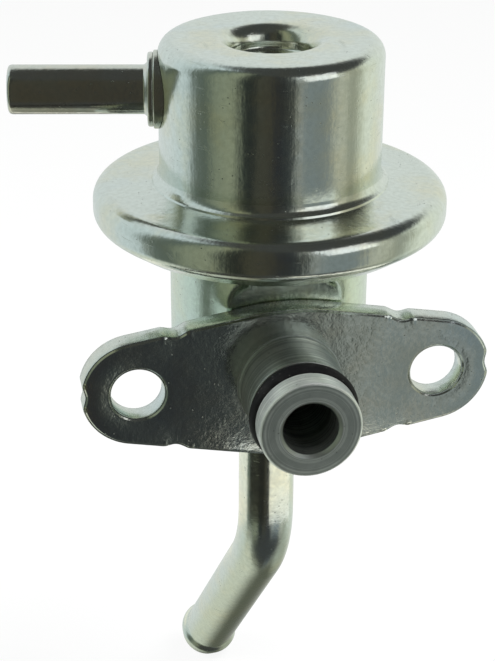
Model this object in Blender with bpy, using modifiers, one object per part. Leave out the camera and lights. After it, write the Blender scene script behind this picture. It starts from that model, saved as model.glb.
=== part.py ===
"""Fuel pressure regulator: a diaphragm regulator with a two-bolt plate and an O-ring spigot.

Metres, +Z up. The origin is where the spigot's axis meets the plate's mounting face. The spigot points
to -Y, and the regulator's own axis stands upright at +Y, behind the plate.
"""

import math

import bmesh
import bpy
from mathutils import Matrix, Vector

MM = 0.001

# Clearances
SEAT_GAP = 0.3 * MM  # between two pieces that bear on each other
HOLE_GAP = 0.3 * MM  # around a piece that passes through a hole
WASHER_GAP = 0.15 * MM  # between the nipple's washer and the round wall behind it

# Mounting plate
PLATE_THICK = 3.0 * MM
BOLT_SPACING = 39.0 * MM
BOLT_HOLE_R = 3.4 * MM
PLATE_END_R = 7.2 * MM
PLATE_HALF_HEIGHT = 10.3 * MM  # at the middle of the hump
PLATE_HUMP_R = 30.0 * MM
PLATE_EDGE_ROLL = 0.45 * MM  # rolled front edge of the stamping
NICK_DEPTH = 0.35 * MM
NICK_R = 3.0 * MM
NICK_X = 14.6 * MM

# Inlet spigot, along its own axis from the mounting face
SPIGOT_LENGTH = 12.8 * MM
SPIGOT_R = 6.6 * MM
SPIGOT_NOSE_R = 6.45 * MM
SPIGOT_BORE_R = 3.5 * MM
SPIGOT_STEM_R = 5.0 * MM
SPIGOT_REACH = 0.5 * MM  # past the inside of the lower case
BORE_CHAMFER = 0.4 * MM
NOSE_CHAMFER = 0.35 * MM
NOSE_WIDTH = 2.85 * MM
GROOVE_BOTTOM_R = 4.45 * MM

# O-ring
O_RING_SECTION_R = 1.1 * MM

# Upper case
CUP_R = 14.3 * MM
UPPER_WALL = 1.2 * MM
CUP_TOP_Z = 41.6 * MM
CUP_CORNER_R = 2.0 * MM
PIT_LIP_R = 7.4 * MM
PIT_DEPTH = 3.0 * MM
PIT_LIP_ROUND = 2.4 * MM
PIT_FLOOR_ROUND = 0.5 * MM
BRIM_Z = 22.6 * MM  # top of the brim
BRIM_RISE = 0.6 * MM  # how far the brim climbs to the foot of the cup
BRIM_CORNER = 0.4 * MM  # inside corner between brim and rim
FOOT_R = 0.9 * MM  # fillet between cup and brim
RIM_R = 22.9 * MM
RIM_TOP_ROUND = 2.1 * MM
RIM_DROP = 4.75 * MM  # from the brim down to where the rim's round meets the lip
LIP_ANGLE = math.radians(33.7)  # of the crimped lip, below level
LIP_END_R = 19.3 * MM
LIP_ROUND = 1.8 * MM

# Diaphragm
DIAPHRAGM_THICK = 0.8 * MM
CONVOLUTION_MARGIN = 0.4 * MM  # from the convolution to the spring's cup and to the upper case
CONVOLUTION_HEIGHT = 1.1 * MM

# Lower case
BODY_R = 13.0 * MM
LOWER_WALL = 1.6 * MM
FLANGE_EDGE = 1.0 * MM  # thickness of the flange at its outer edge
BODY_BOTTOM_Z = -9.0 * MM
BODY_CORNER_R = 1.8 * MM
LIP_OVERHANG = 0.8 * MM  # of the crimped lip, past the cone that it grips
SHOULDER_WIDTH = 2.2 * MM  # from the foot of the cone to the start of the shoulder
SHOULDER_DROP = 2.3 * MM  # from the foot of the cone down to the shoulder
SHOULDER_SLOPE = 0.4 * MM
NECK_FILLET = 1.4 * MM  # between the shoulder and the body
CHAMBER_R = 17.6 * MM
CHAMBER_SLOPE = 1.0 * MM  # how far the chamber narrows towards its floor
PAD_PRESS = 2.3 * MM  # depth of the pressed flat, from the round of the body
PAD_DROP = 1.3 * MM  # from the shoulder down to the top of the flat
PAD_REACH = 3.0 * MM  # how far the pressing tool reaches past the bottom of the body
PAD_ROUND = 4.2 * MM
PAD_SIDE = 0.4 * MM  # how far the pressing tool reaches past each side of the flat

# Vacuum nipple
NIPPLE_DROP = 6.85 * MM  # from the cup's top
NIPPLE_TURN = math.radians(9.5)  # from -X towards the back
NIPPLE_R = 3.12 * MM
NIPPLE_BORE_R = 1.95 * MM
NIPPLE_END = 33.1 * MM  # from the regulator's axis
NIPPLE_END_ROUND = 0.7 * MM
NIPPLE_FLANGE_R = 4.85 * MM
NIPPLE_FLANGE_THICK = 0.75 * MM
WASHER_R = 4.95 * MM
WASHER_FACE = 0.3 * MM  # from the cup's wall to the washer's outer face

# Return pipe
PIPE_R = 3.85 * MM
PIPE_WALL = 1.05 * MM
PIPE_DROP = 14.6 * MM  # from the bottom of the body to where the bend starts
PIPE_BEND_R = 25.0 * MM
PIPE_BEND_ANGLE = math.radians(38.5)
PIPE_HEADING = math.radians(79.0)  # of the bent leg, from -X towards the back
PIPE_LEG = 29.5 * MM
BEAD_R = 4.35 * MM
BEAD_FROM_END = 2.3 * MM
BEAD_HALF_WIDTH = 1.9 * MM

# Valve
SEAT_LAND_R = 1.75 * MM
SEAT_ORIFICE_R = 1.25 * MM
SEAT_HEAD_HEIGHT = 2.2 * MM
SEAT_SHANK = 3.4 * MM
BALL_R = 2.3 * MM
BALL_FLAT = 1.2 * MM  # from the ball's centre down to its ground flat
HOLDER_R = 9.4 * MM
HOLDER_PLATE = 1.1 * MM
HOLDER_BOSS_R = 4.4 * MM
SOCKET_ROOF = 1.0 * MM  # thickness of the holder over the ball's socket
STEM_R = 2.2 * MM
RIVET_HEAD_R = 3.8 * MM
RIVET_HEAD_HEIGHT = 0.9 * MM
RIVET_HEAD_CHAMFER = 0.6 * MM
RETAINER_DROP = 0.575 * MM  # from the ball's centre to the retainer
RETAINER_THICK = 0.5 * MM
RETAINER_LIP_R = 2.15 * MM

# Spring and its seats
SPRING_WIRE_R = 1.0 * MM
SPRING_R = 7.7 * MM
SPRING_TURNS = 4.0
SPRING_CLOSING = 0.045  # how far the end turns close up, as a share of the spring's height
SPRING_CUP_THICK = 0.8 * MM
SPRING_CUP_RIM = 1.6 * MM
TOP_SEAT_MARGIN = 1.9 * MM  # of the upper seat, outside the spring
TOP_SEAT_THICK = 0.9 * MM
TOP_SEAT_SKIRT = 1.6 * MM
SKIRT_GAP = 0.4 * MM  # between the spring and the skirt or rim that centres it
PRESSED_EDGE = 0.2 * MM  # small corners of the pressed seats

# Facets
MAIN_STEPS = 40
SMALL_STEPS = 24
PIPE_RESOLUTION = 7
WIRE_RESOLUTION = 2
BEND_POINTS = 8
BEAD_POINTS = 8
SPRING_POINTS_PER_TURN = 14
SMOOTH_ANGLE = math.radians(35.0)

# Places that follow from the sizes above. Heights are on the regulator's axis
PAD_BACK = BODY_R - PAD_PRESS
AXIS_BACK = PAD_BACK + SEAT_GAP + PLATE_THICK
NIPPLE_Z = CUP_TOP_Z - NIPPLE_DROP
BRIM_UNDER_Z = BRIM_Z - UPPER_WALL
DIAPHRAGM_TOP_Z = BRIM_UNDER_Z - SEAT_GAP
DIAPHRAGM_BOTTOM_Z = DIAPHRAGM_TOP_Z - DIAPHRAGM_THICK
FLANGE_TOP_Z = DIAPHRAGM_BOTTOM_Z - SEAT_GAP
PIT_FLOOR_Z = CUP_TOP_Z - PIT_DEPTH
PIT_WALL_R = PIT_LIP_R - PIT_LIP_ROUND
PIT_CORNER = PIT_LIP_ROUND - UPPER_WALL  # corners of the dimple, from inside the cup
TOP_SEAT_Z = PIT_FLOOR_Z - UPPER_WALL - SEAT_GAP
TOP_SEAT_R = SPRING_R + SPRING_WIRE_R + TOP_SEAT_MARGIN
SPRING_CUP_Z = DIAPHRAGM_TOP_Z + SEAT_GAP
SPRING_CUP_R = SPRING_R + SPRING_WIRE_R + SKIRT_GAP + SPRING_CUP_THICK
SPRING_BOTTOM_Z = SPRING_CUP_Z + SPRING_CUP_THICK + SEAT_GAP
SPRING_TOP_Z = TOP_SEAT_Z - TOP_SEAT_THICK - SEAT_GAP
CONVOLUTION_IN_R = SPRING_CUP_R + CONVOLUTION_MARGIN
CONVOLUTION_OUT_R = CUP_R - UPPER_WALL - CONVOLUTION_MARGIN
HOLDER_TOP_Z = DIAPHRAGM_BOTTOM_Z - SEAT_GAP
SOCKET_R = BALL_R + HOLE_GAP
SOCKET_ROOF_Z = HOLDER_TOP_Z - SOCKET_ROOF
BALL_Z = SOCKET_ROOF_Z - HOLE_GAP - BALL_R
BALL_FLAT_Z = BALL_Z - BALL_FLAT
RETAINER_TOP_Z = BALL_Z - RETAINER_DROP
BOSS_BOTTOM_Z = RETAINER_TOP_Z + SEAT_GAP
SEAT_LAND_Z = BALL_FLAT_Z - SEAT_GAP
SEAT_HEAD_Z = SEAT_LAND_Z - SEAT_HEAD_HEIGHT
PIPE_TOP_Z = SEAT_HEAD_Z - SEAT_GAP
PIPE_BEND_Z = BODY_BOTTOM_Z - PIPE_DROP
BORE_PIPE_R = PIPE_R - PIPE_WALL
GROOVE_WIDTH = 2 * (O_RING_SECTION_R + SEAT_GAP)
O_RING_R = GROOVE_BOTTOM_R + SEAT_GAP + O_RING_SECTION_R
O_RING_ALONG = SPIGOT_LENGTH - NOSE_WIDTH - GROOVE_WIDTH / 2
STEM_HOLE_R = STEM_R + HOLE_GAP
CAVITY_R = BODY_R - LOWER_WALL
PAD_INNER_BACK = PAD_BACK - LOWER_WALL
SPIGOT_END = AXIS_BACK - PAD_INNER_BACK + SPIGOT_REACH

STEEL = {"color": (0.72, 0.74, 0.70, 1.0), "roughness": 0.28, "metallic": 1.0}
BRIGHT_STEEL = {"color": (0.78, 0.78, 0.76, 1.0), "roughness": 0.2, "metallic": 1.0}
TURNED_STEEL = {"color": (0.60, 0.62, 0.60, 1.0), "roughness": 0.35, "metallic": 1.0}
SPRING_STEEL = {"color": (0.36, 0.35, 0.34, 1.0), "roughness": 0.4, "metallic": 1.0}
BRASS = {"color": (0.72, 0.56, 0.30, 1.0), "roughness": 0.35, "metallic": 1.0}
RUBBER = {"color": (0.02, 0.02, 0.022, 1.0), "roughness": 0.55, "metallic": 0.0}


def clear_scene():
    for obj in list(bpy.data.objects):
        bpy.data.objects.remove(obj, do_unlink=True)


def new_collection(name):
    collection = bpy.data.collections.new(name)
    bpy.context.scene.collection.children.link(collection)
    return collection


clear_scene()
PARTS = new_collection("fuel_pressure_regulator")
CUTTERS = new_collection("cutters")


def add_object(name, data, collection=None):
    obj = bpy.data.objects.new(name, data)
    (collection or PARTS).objects.link(obj)
    return obj


def give_material(obj, look):
    material = bpy.data.materials.new(obj.name + "_finish")
    material.use_nodes = True
    shader = material.node_tree.nodes["Principled BSDF"]
    shader.inputs["Base Color"].default_value = look["color"]
    shader.inputs["Roughness"].default_value = look["roughness"]
    shader.inputs["Metallic"].default_value = look["metallic"]
    obj.data.materials.append(material)


def as_cutter(obj):
    obj.hide_render = True
    obj.display_type = "WIRE"
    return obj


def subtract(obj, cutter):
    """Cut one closed shape away from another, and keep the cut live."""
    cut = obj.modifiers.new("cut_" + cutter.name, "BOOLEAN")
    cut.operation = "DIFFERENCE"
    cut.solver = "EXACT"
    cut.object = cutter


def smooth(obj):
    obj.data.shade_smooth()
    obj.data.set_sharp_from_angle(angle=SMOOTH_ANGLE)


def arc(center_r, center_z, radius, start, end, count):
    """Points along an arc of a profile, angles in degrees from +R, towards +Z."""
    points = []
    for i in range(count + 1):
        angle = math.radians(start + (end - start) * i / count)
        points.append((center_r + radius * math.cos(angle), center_z + radius * math.sin(angle)))
    return points


def turned(name, profile, look=None, steps=MAIN_STEPS, collection=None, closed=False):
    """A piece turned about its own Z axis. The profile (r, z) runs down its outer side."""
    mesh = bpy.data.meshes.new(name)
    bm = bmesh.new()
    verts = [bm.verts.new((r, 0.0, z)) for r, z in profile]
    for a, b in zip(verts, verts[1:]):
        bm.edges.new((a, b))
    if closed:
        bm.edges.new((verts[-1], verts[0]))
    bm.to_mesh(mesh)
    bm.free()
    obj = add_object(name, mesh, collection)
    screw = obj.modifiers.new("turn", "SCREW")
    screw.axis = "Z"
    screw.angle = 2 * math.pi
    screw.steps = steps
    screw.render_steps = steps
    screw.use_merge_vertices = True
    screw.merge_threshold = 0.00001
    screw.use_smooth_shade = True
    if look:
        give_material(obj, look)
    return obj


def on_axis(obj):
    """Stand a turned piece on the regulator's axis."""
    obj.location = (0.0, AXIS_BACK, 0.0)
    return obj


def along_spigot(obj):
    """Lay a turned piece on the spigot's axis, so that its +Z runs out to the front."""
    obj.rotation_euler = (math.radians(90.0), 0.0, 0.0)
    return obj


def along_nipple(obj):
    """Lay a turned piece on the nipple's axis, so that its +Z runs outwards."""
    obj.location = (0.0, AXIS_BACK, NIPPLE_Z)
    obj.rotation_euler = (0.0, math.radians(-90.0), -NIPPLE_TURN)
    return obj


def drum(name, radius, low, high, steps=MAIN_STEPS, collection=None):
    """A plain cylinder about Z, for cutting round holes."""
    return turned(name, [(0.0, high), (radius, high), (radius, low), (0.0, low)], None, steps, collection)


def rounded_block(name, half_width, low_z, high_z, near_y, far_y, radius):
    """A block whose four edges along Y are rounded, for cutting a flat with a rounded outline."""
    bm = bmesh.new()
    bmesh.ops.create_cube(bm, size=1.0)
    size = Vector((2 * half_width, far_y - near_y, high_z - low_z))
    middle = Vector((0.0, (near_y + far_y) / 2, (low_z + high_z) / 2))
    bmesh.ops.transform(bm, matrix=Matrix.Translation(middle) @ Matrix.Diagonal(size.to_4d()), verts=bm.verts)
    along_y = [e for e in bm.edges if abs((e.verts[0].co - e.verts[1].co).normalized().y) > 0.9]
    bmesh.ops.bevel(bm, geom=along_y, offset=radius, segments=8, profile=0.5, affect="EDGES", material=-1)
    mesh = bpy.data.meshes.new(name)
    bm.to_mesh(mesh)
    bm.free()
    return as_cutter(add_object(name, mesh, CUTTERS))


def tube_mesh(name, points, radius, scales, resolution, collection=None, cyclic=False):
    """A round tube along points, as a closed mesh. Each point scales the tube's radius."""
    curve = bpy.data.curves.new(name + "_route", "CURVE")
    curve.dimensions = "3D"
    curve.bevel_depth = radius
    curve.bevel_resolution = resolution
    curve.use_fill_caps = True
    curve.resolution_u = 1
    spline = curve.splines.new("POLY")
    spline.points.add(len(points) - 1)
    for point, place, scale in zip(spline.points, points, scales):
        point.co = (*place, 1.0)
        point.radius = scale
    route = add_object(name + "_route", curve, collection)
    bpy.context.view_layer.update()
    evaluated = route.evaluated_get(bpy.context.evaluated_depsgraph_get())
    mesh = bpy.data.meshes.new_from_object(evaluated)
    mesh.name = name
    obj = add_object(name, mesh, collection)
    obj.matrix_world = route.matrix_world.copy()
    bpy.data.objects.remove(route, do_unlink=True)
    bm = bmesh.new()
    bm.from_mesh(mesh)
    bmesh.ops.remove_doubles(bm, verts=bm.verts, dist=0.000001)
    bmesh.ops.recalc_face_normals(bm, faces=bm.faces)
    bm.to_mesh(mesh)
    bm.free()
    return obj


def pit_profile():
    """The outside of the preload dimple, from the middle of its floor to its lip."""
    floor_r = PIT_WALL_R - PIT_FLOOR_ROUND
    points = [(0.0, PIT_FLOOR_Z)]
    points += arc(floor_r, PIT_FLOOR_Z + PIT_FLOOR_ROUND, PIT_FLOOR_ROUND, -90, 0, 3)
    points += arc(PIT_LIP_R, CUP_TOP_Z - PIT_LIP_ROUND, PIT_LIP_ROUND, 180, 90, 5)
    return points


def lip_frame():
    """Unit vectors along the crimped lip, inwards and down, and square to it, up and inwards."""
    along = (-math.cos(LIP_ANGLE), -math.sin(LIP_ANGLE))
    square = (-math.sin(LIP_ANGLE), math.cos(LIP_ANGLE))
    return along, square


def lip_line(offset, r):
    """Height on the lip's outer face, moved square to it by offset, at the radius r."""
    start_r = RIM_R - LIP_ROUND * (1.0 - math.sin(LIP_ANGLE))
    start_z = BRIM_Z - RIM_DROP
    return start_z - (start_r - r) * math.tan(LIP_ANGLE) + offset / math.cos(LIP_ANGLE)


def make_upper_case():
    """Drawn cup with its dimple, brim and crimped rim, as one closed section."""
    corner = CUP_CORNER_R
    foot_z = BRIM_Z + BRIM_RISE
    outer = pit_profile()
    outer += arc(CUP_R - corner, CUP_TOP_Z - corner, corner, 90, 0, 5)
    outer += arc(CUP_R + FOOT_R, foot_z + FOOT_R, FOOT_R, 180, 270, 3)
    brim_in_r = CUP_R + FOOT_R
    brim_width = RIM_R - RIM_TOP_ROUND - brim_in_r
    for share in (0.35, 0.75):
        outer.append((brim_in_r + share * brim_width, BRIM_Z + BRIM_RISE * (1.0 - share) ** 2))
    outer += arc(RIM_R - RIM_TOP_ROUND, BRIM_Z - RIM_TOP_ROUND, RIM_TOP_ROUND, 78, 0, 4)
    lip_degrees = math.degrees(LIP_ANGLE)
    round_z = BRIM_Z - RIM_DROP + LIP_ROUND * math.cos(LIP_ANGLE)
    outer += arc(RIM_R - LIP_ROUND, round_z, LIP_ROUND, 0, -(90 - lip_degrees), 3)
    outer.append((LIP_END_R, lip_line(0.0, LIP_END_R)))
    along, square = lip_frame()
    end_r = LIP_END_R + UPPER_WALL * square[0]
    end_z = lip_line(0.0, LIP_END_R) + UPPER_WALL * square[1]
    inner_wall_r = RIM_R - UPPER_WALL
    inner = [(end_r, end_z), (inner_wall_r, lip_line(UPPER_WALL, inner_wall_r))]
    inner += [(inner_wall_r, BRIM_UNDER_Z - BRIM_CORNER), (inner_wall_r - BRIM_CORNER, BRIM_UNDER_Z)]
    cup_inner_r = CUP_R - UPPER_WALL
    inner_foot = FOOT_R + UPPER_WALL
    inner += arc(cup_inner_r + inner_foot, BRIM_UNDER_Z + inner_foot, inner_foot, 270, 180, 2)
    inner_corner = corner - UPPER_WALL
    inner_top_z = CUP_TOP_Z - UPPER_WALL
    inner += arc(cup_inner_r - inner_corner, inner_top_z - inner_corner, inner_corner, 0, 90, 2)
    dimple_r = PIT_WALL_R + UPPER_WALL
    dimple_z = PIT_FLOOR_Z - UPPER_WALL
    inner += [(dimple_r + PIT_CORNER, inner_top_z), (dimple_r, inner_top_z - PIT_CORNER)]
    inner += [(dimple_r, dimple_z + PIT_CORNER), (dimple_r - PIT_CORNER, dimple_z), (0.0, dimple_z)]
    case = on_axis(turned("upper_case", outer + inner, STEEL))
    hole = drum("nipple_hole", NIPPLE_R + HOLE_GAP, CUP_R - 3 * UPPER_WALL, CUP_R + 2 * UPPER_WALL,
                SMALL_STEPS, CUTTERS)
    subtract(case, as_cutter(along_nipple(hole)))
    return case


def make_nipple():
    """Turned tube with a flange, and the saddle washer between the flange and the cup."""
    washer_face = CUP_R + WASHER_FACE
    flange_back = washer_face + SEAT_GAP
    flange_front = flange_back + NIPPLE_FLANGE_THICK
    inner_end = CUP_R - UPPER_WALL
    end_r = NIPPLE_R - NIPPLE_END_ROUND
    profile = [(NIPPLE_BORE_R, NIPPLE_END)]
    profile += arc(end_r, NIPPLE_END - NIPPLE_END_ROUND, NIPPLE_END_ROUND, 90, 0, 3)
    profile.append((NIPPLE_R, flange_front))
    dome = NIPPLE_FLANGE_THICK / 2
    profile += arc(NIPPLE_FLANGE_R - dome, flange_front - dome, dome, 90, -90, 4)
    profile += [(NIPPLE_R, flange_back), (NIPPLE_R, inner_end), (NIPPLE_BORE_R, inner_end)]
    along_nipple(turned("vacuum_nipple", profile, STEEL, SMALL_STEPS, closed=True))
    ring = [(WASHER_R, washer_face), (WASHER_R, washer_face - 3 * UPPER_WALL)]
    ring += [(NIPPLE_R + HOLE_GAP, washer_face - 3 * UPPER_WALL), (NIPPLE_R + HOLE_GAP, washer_face)]
    washer = along_nipple(turned("nipple_washer", ring, BRIGHT_STEEL, SMALL_STEPS, closed=True))
    wall = drum("cup_wall", CUP_R + WASHER_GAP, NIPPLE_Z - 2 * WASHER_R, NIPPLE_Z + 2 * WASHER_R,
                MAIN_STEPS, CUTTERS)
    subtract(washer, as_cutter(on_axis(wall)))


def make_spring_seat():
    """Pressed disc under the dimple, with a skirt that centres the spring from inside."""
    skirt_r = SPRING_R - SPRING_WIRE_R - SKIRT_GAP
    under_z = TOP_SEAT_Z - TOP_SEAT_THICK
    skirt_z = under_z - TOP_SEAT_SKIRT
    skirt_in_r = skirt_r - TOP_SEAT_THICK
    profile = [(0.0, TOP_SEAT_Z), (TOP_SEAT_R - PRESSED_EDGE, TOP_SEAT_Z)]
    profile += [(TOP_SEAT_R, TOP_SEAT_Z - PRESSED_EDGE), (TOP_SEAT_R, under_z), (skirt_r, under_z)]
    profile += [(skirt_r - PRESSED_EDGE, skirt_z), (skirt_in_r, skirt_z)]
    profile += [(skirt_in_r - PRESSED_EDGE, under_z), (0.0, under_z)]
    on_axis(turned("upper_spring_seat", profile, STEEL, SMALL_STEPS))


def make_spring():
    """Coil spring between the two seats, whose end turns lie closer together."""
    low = SPRING_BOTTOM_Z + SPRING_WIRE_R
    high = SPRING_TOP_Z - SPRING_WIRE_R
    count = int(SPRING_TURNS * SPRING_POINTS_PER_TURN)
    points = []
    for i in range(count + 1):
        share = i / count
        angle = 2 * math.pi * SPRING_TURNS * share
        eased = share - SPRING_CLOSING * math.sin(2 * math.pi * share)
        height = low + (high - low) * eased
        points.append((SPRING_R * math.cos(angle), AXIS_BACK + SPRING_R * math.sin(angle), height))
    spring = tube_mesh("main_spring", points, SPRING_WIRE_R, [1.0] * len(points), WIRE_RESOLUTION)
    give_material(spring, SPRING_STEEL)
    smooth(spring)


def make_diaphragm_stack():
    """Spring cup, diaphragm, and the holder riveted through both."""
    cup_top = SPRING_CUP_Z + SPRING_CUP_THICK
    rim_r = SPRING_CUP_R
    profile = [(rim_r - SPRING_CUP_THICK, cup_top + SPRING_CUP_RIM), (rim_r, cup_top + SPRING_CUP_RIM)]
    profile += [(rim_r, SPRING_CUP_Z + PRESSED_EDGE), (rim_r - PRESSED_EDGE, SPRING_CUP_Z)]
    profile += [(STEM_HOLE_R, SPRING_CUP_Z), (STEM_HOLE_R, cup_top), (rim_r - SPRING_CUP_THICK, cup_top)]
    on_axis(turned("spring_cup", profile, STEEL, SMALL_STEPS, closed=True))

    clamp_r = RIM_R - UPPER_WALL - HOLE_GAP
    middle = (CONVOLUTION_IN_R + CONVOLUTION_OUT_R) / 2
    half = (CONVOLUTION_OUT_R - CONVOLUTION_IN_R) / 2
    top = [(STEM_HOLE_R, DIAPHRAGM_TOP_Z)]
    bottom = []
    for i in range(7):
        across = -1.0 + 2.0 * i / 6
        rise = CONVOLUTION_HEIGHT * (0.5 + 0.5 * math.cos(math.pi * across))
        top.append((middle + half * across, DIAPHRAGM_TOP_Z + rise))
        bottom.append((middle + half * across, DIAPHRAGM_BOTTOM_Z + rise))
    top += [(clamp_r, DIAPHRAGM_TOP_Z), (clamp_r, DIAPHRAGM_BOTTOM_Z)]
    profile = top + bottom[::-1] + [(STEM_HOLE_R, DIAPHRAGM_BOTTOM_Z)]
    on_axis(turned("diaphragm", profile, RUBBER, SMALL_STEPS, closed=True))

    head_z = cup_top + SEAT_GAP
    plate_z = HOLDER_TOP_Z - HOLDER_PLATE
    head_top_z = head_z + RIVET_HEAD_HEIGHT
    profile = [(0.0, head_top_z), (RIVET_HEAD_R - RIVET_HEAD_CHAMFER, head_top_z)]
    profile += [(RIVET_HEAD_R, head_z + RIVET_HEAD_HEIGHT / 2), (RIVET_HEAD_R, head_z), (STEM_R, head_z)]
    profile += [(STEM_R, HOLDER_TOP_Z), (HOLDER_R, HOLDER_TOP_Z), (HOLDER_R, plate_z)]
    profile += [(HOLDER_BOSS_R, plate_z), (HOLDER_BOSS_R, BOSS_BOTTOM_Z), (SOCKET_R, BOSS_BOTTOM_Z)]
    profile += [(SOCKET_R, SOCKET_ROOF_Z), (0.0, SOCKET_ROOF_Z)]
    on_axis(turned("valve_holder", profile, TURNED_STEEL, SMALL_STEPS))


def make_valve():
    """Ball with its ground flat, the ring that keeps it, and the seat below."""
    flat_angle = math.degrees(math.asin(BALL_FLAT / BALL_R))
    profile = arc(0.0, BALL_Z, BALL_R, 90, -flat_angle, 7) + [(0.0, BALL_FLAT_Z)]
    profile[0] = (0.0, BALL_Z + BALL_R)
    on_axis(turned("valve_ball", profile, BRIGHT_STEEL, SMALL_STEPS))

    low = RETAINER_TOP_Z - RETAINER_THICK
    profile = [(SOCKET_R, RETAINER_TOP_Z), (HOLDER_BOSS_R, RETAINER_TOP_Z), (HOLDER_BOSS_R, low)]
    profile.append((RETAINER_LIP_R, low))
    on_axis(turned("ball_retainer", profile, BRIGHT_STEEL, SMALL_STEPS, closed=True))

    shank_r = BORE_PIPE_R - HOLE_GAP
    profile = [(SEAT_ORIFICE_R, SEAT_LAND_Z), (SEAT_LAND_R, SEAT_LAND_Z)]
    profile += [(PIPE_R, SEAT_LAND_Z - SEAT_HEAD_HEIGHT / 2), (PIPE_R, SEAT_HEAD_Z), (shank_r, SEAT_HEAD_Z)]
    profile += [(shank_r, SEAT_HEAD_Z - SEAT_SHANK), (SEAT_ORIFICE_R, SEAT_HEAD_Z - SEAT_SHANK)]
    on_axis(turned("valve_seat", profile, BRASS, SMALL_STEPS, closed=True))


def pipe_route():
    """Points down the return pipe to the start of its bent leg, and the leg's direction."""
    heading = Vector((-math.cos(PIPE_HEADING), math.sin(PIPE_HEADING), 0.0))
    down = Vector((0.0, 0.0, -1.0))
    start = Vector((0.0, AXIS_BACK, PIPE_BEND_Z))
    center = start + heading * PIPE_BEND_R
    points = [Vector((0.0, AXIS_BACK, PIPE_TOP_Z)), start]
    for i in range(1, BEND_POINTS + 1):
        angle = PIPE_BEND_ANGLE * i / BEND_POINTS
        points.append(center - heading * PIPE_BEND_R * math.cos(angle) + down * PIPE_BEND_R * math.sin(angle))
    leg = heading * math.sin(PIPE_BEND_ANGLE) + down * math.cos(PIPE_BEND_ANGLE)
    return points, leg


def make_pipe():
    """Return pipe, bored through, with a bead near its open end."""
    route, leg = pipe_route()
    scales = [1.0] * len(route)
    points = list(route)
    bead_at = PIPE_LEG - BEAD_FROM_END
    for i in range(BEAD_POINTS + 1):
        across = -1.0 + 2.0 * i / BEAD_POINTS
        rise = (BEAD_R / PIPE_R - 1.0) * (0.5 + 0.5 * math.cos(math.pi * across))
        points.append(route[-1] + leg * (bead_at + across * BEAD_HALF_WIDTH))
        scales.append(1.0 + rise)
    end = route[-1] + leg * PIPE_LEG
    points.append(end)
    scales.append(1.0 - (BEAD_FROM_END - BEAD_HALF_WIDTH) / PIPE_R)
    pipe = tube_mesh("return_pipe", points, PIPE_R, scales, PIPE_RESOLUTION)
    give_material(pipe, STEEL)
    smooth(pipe)
    above = Vector((0.0, AXIS_BACK, PIPE_TOP_Z + PIPE_R))
    bore_points = [above] + route[1:] + [end + leg * PIPE_R]
    even = [1.0] * len(bore_points)
    bore = tube_mesh("pipe_bore", bore_points, BORE_PIPE_R, even, PIPE_RESOLUTION, CUTTERS)
    subtract(pipe, as_cutter(bore))


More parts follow.
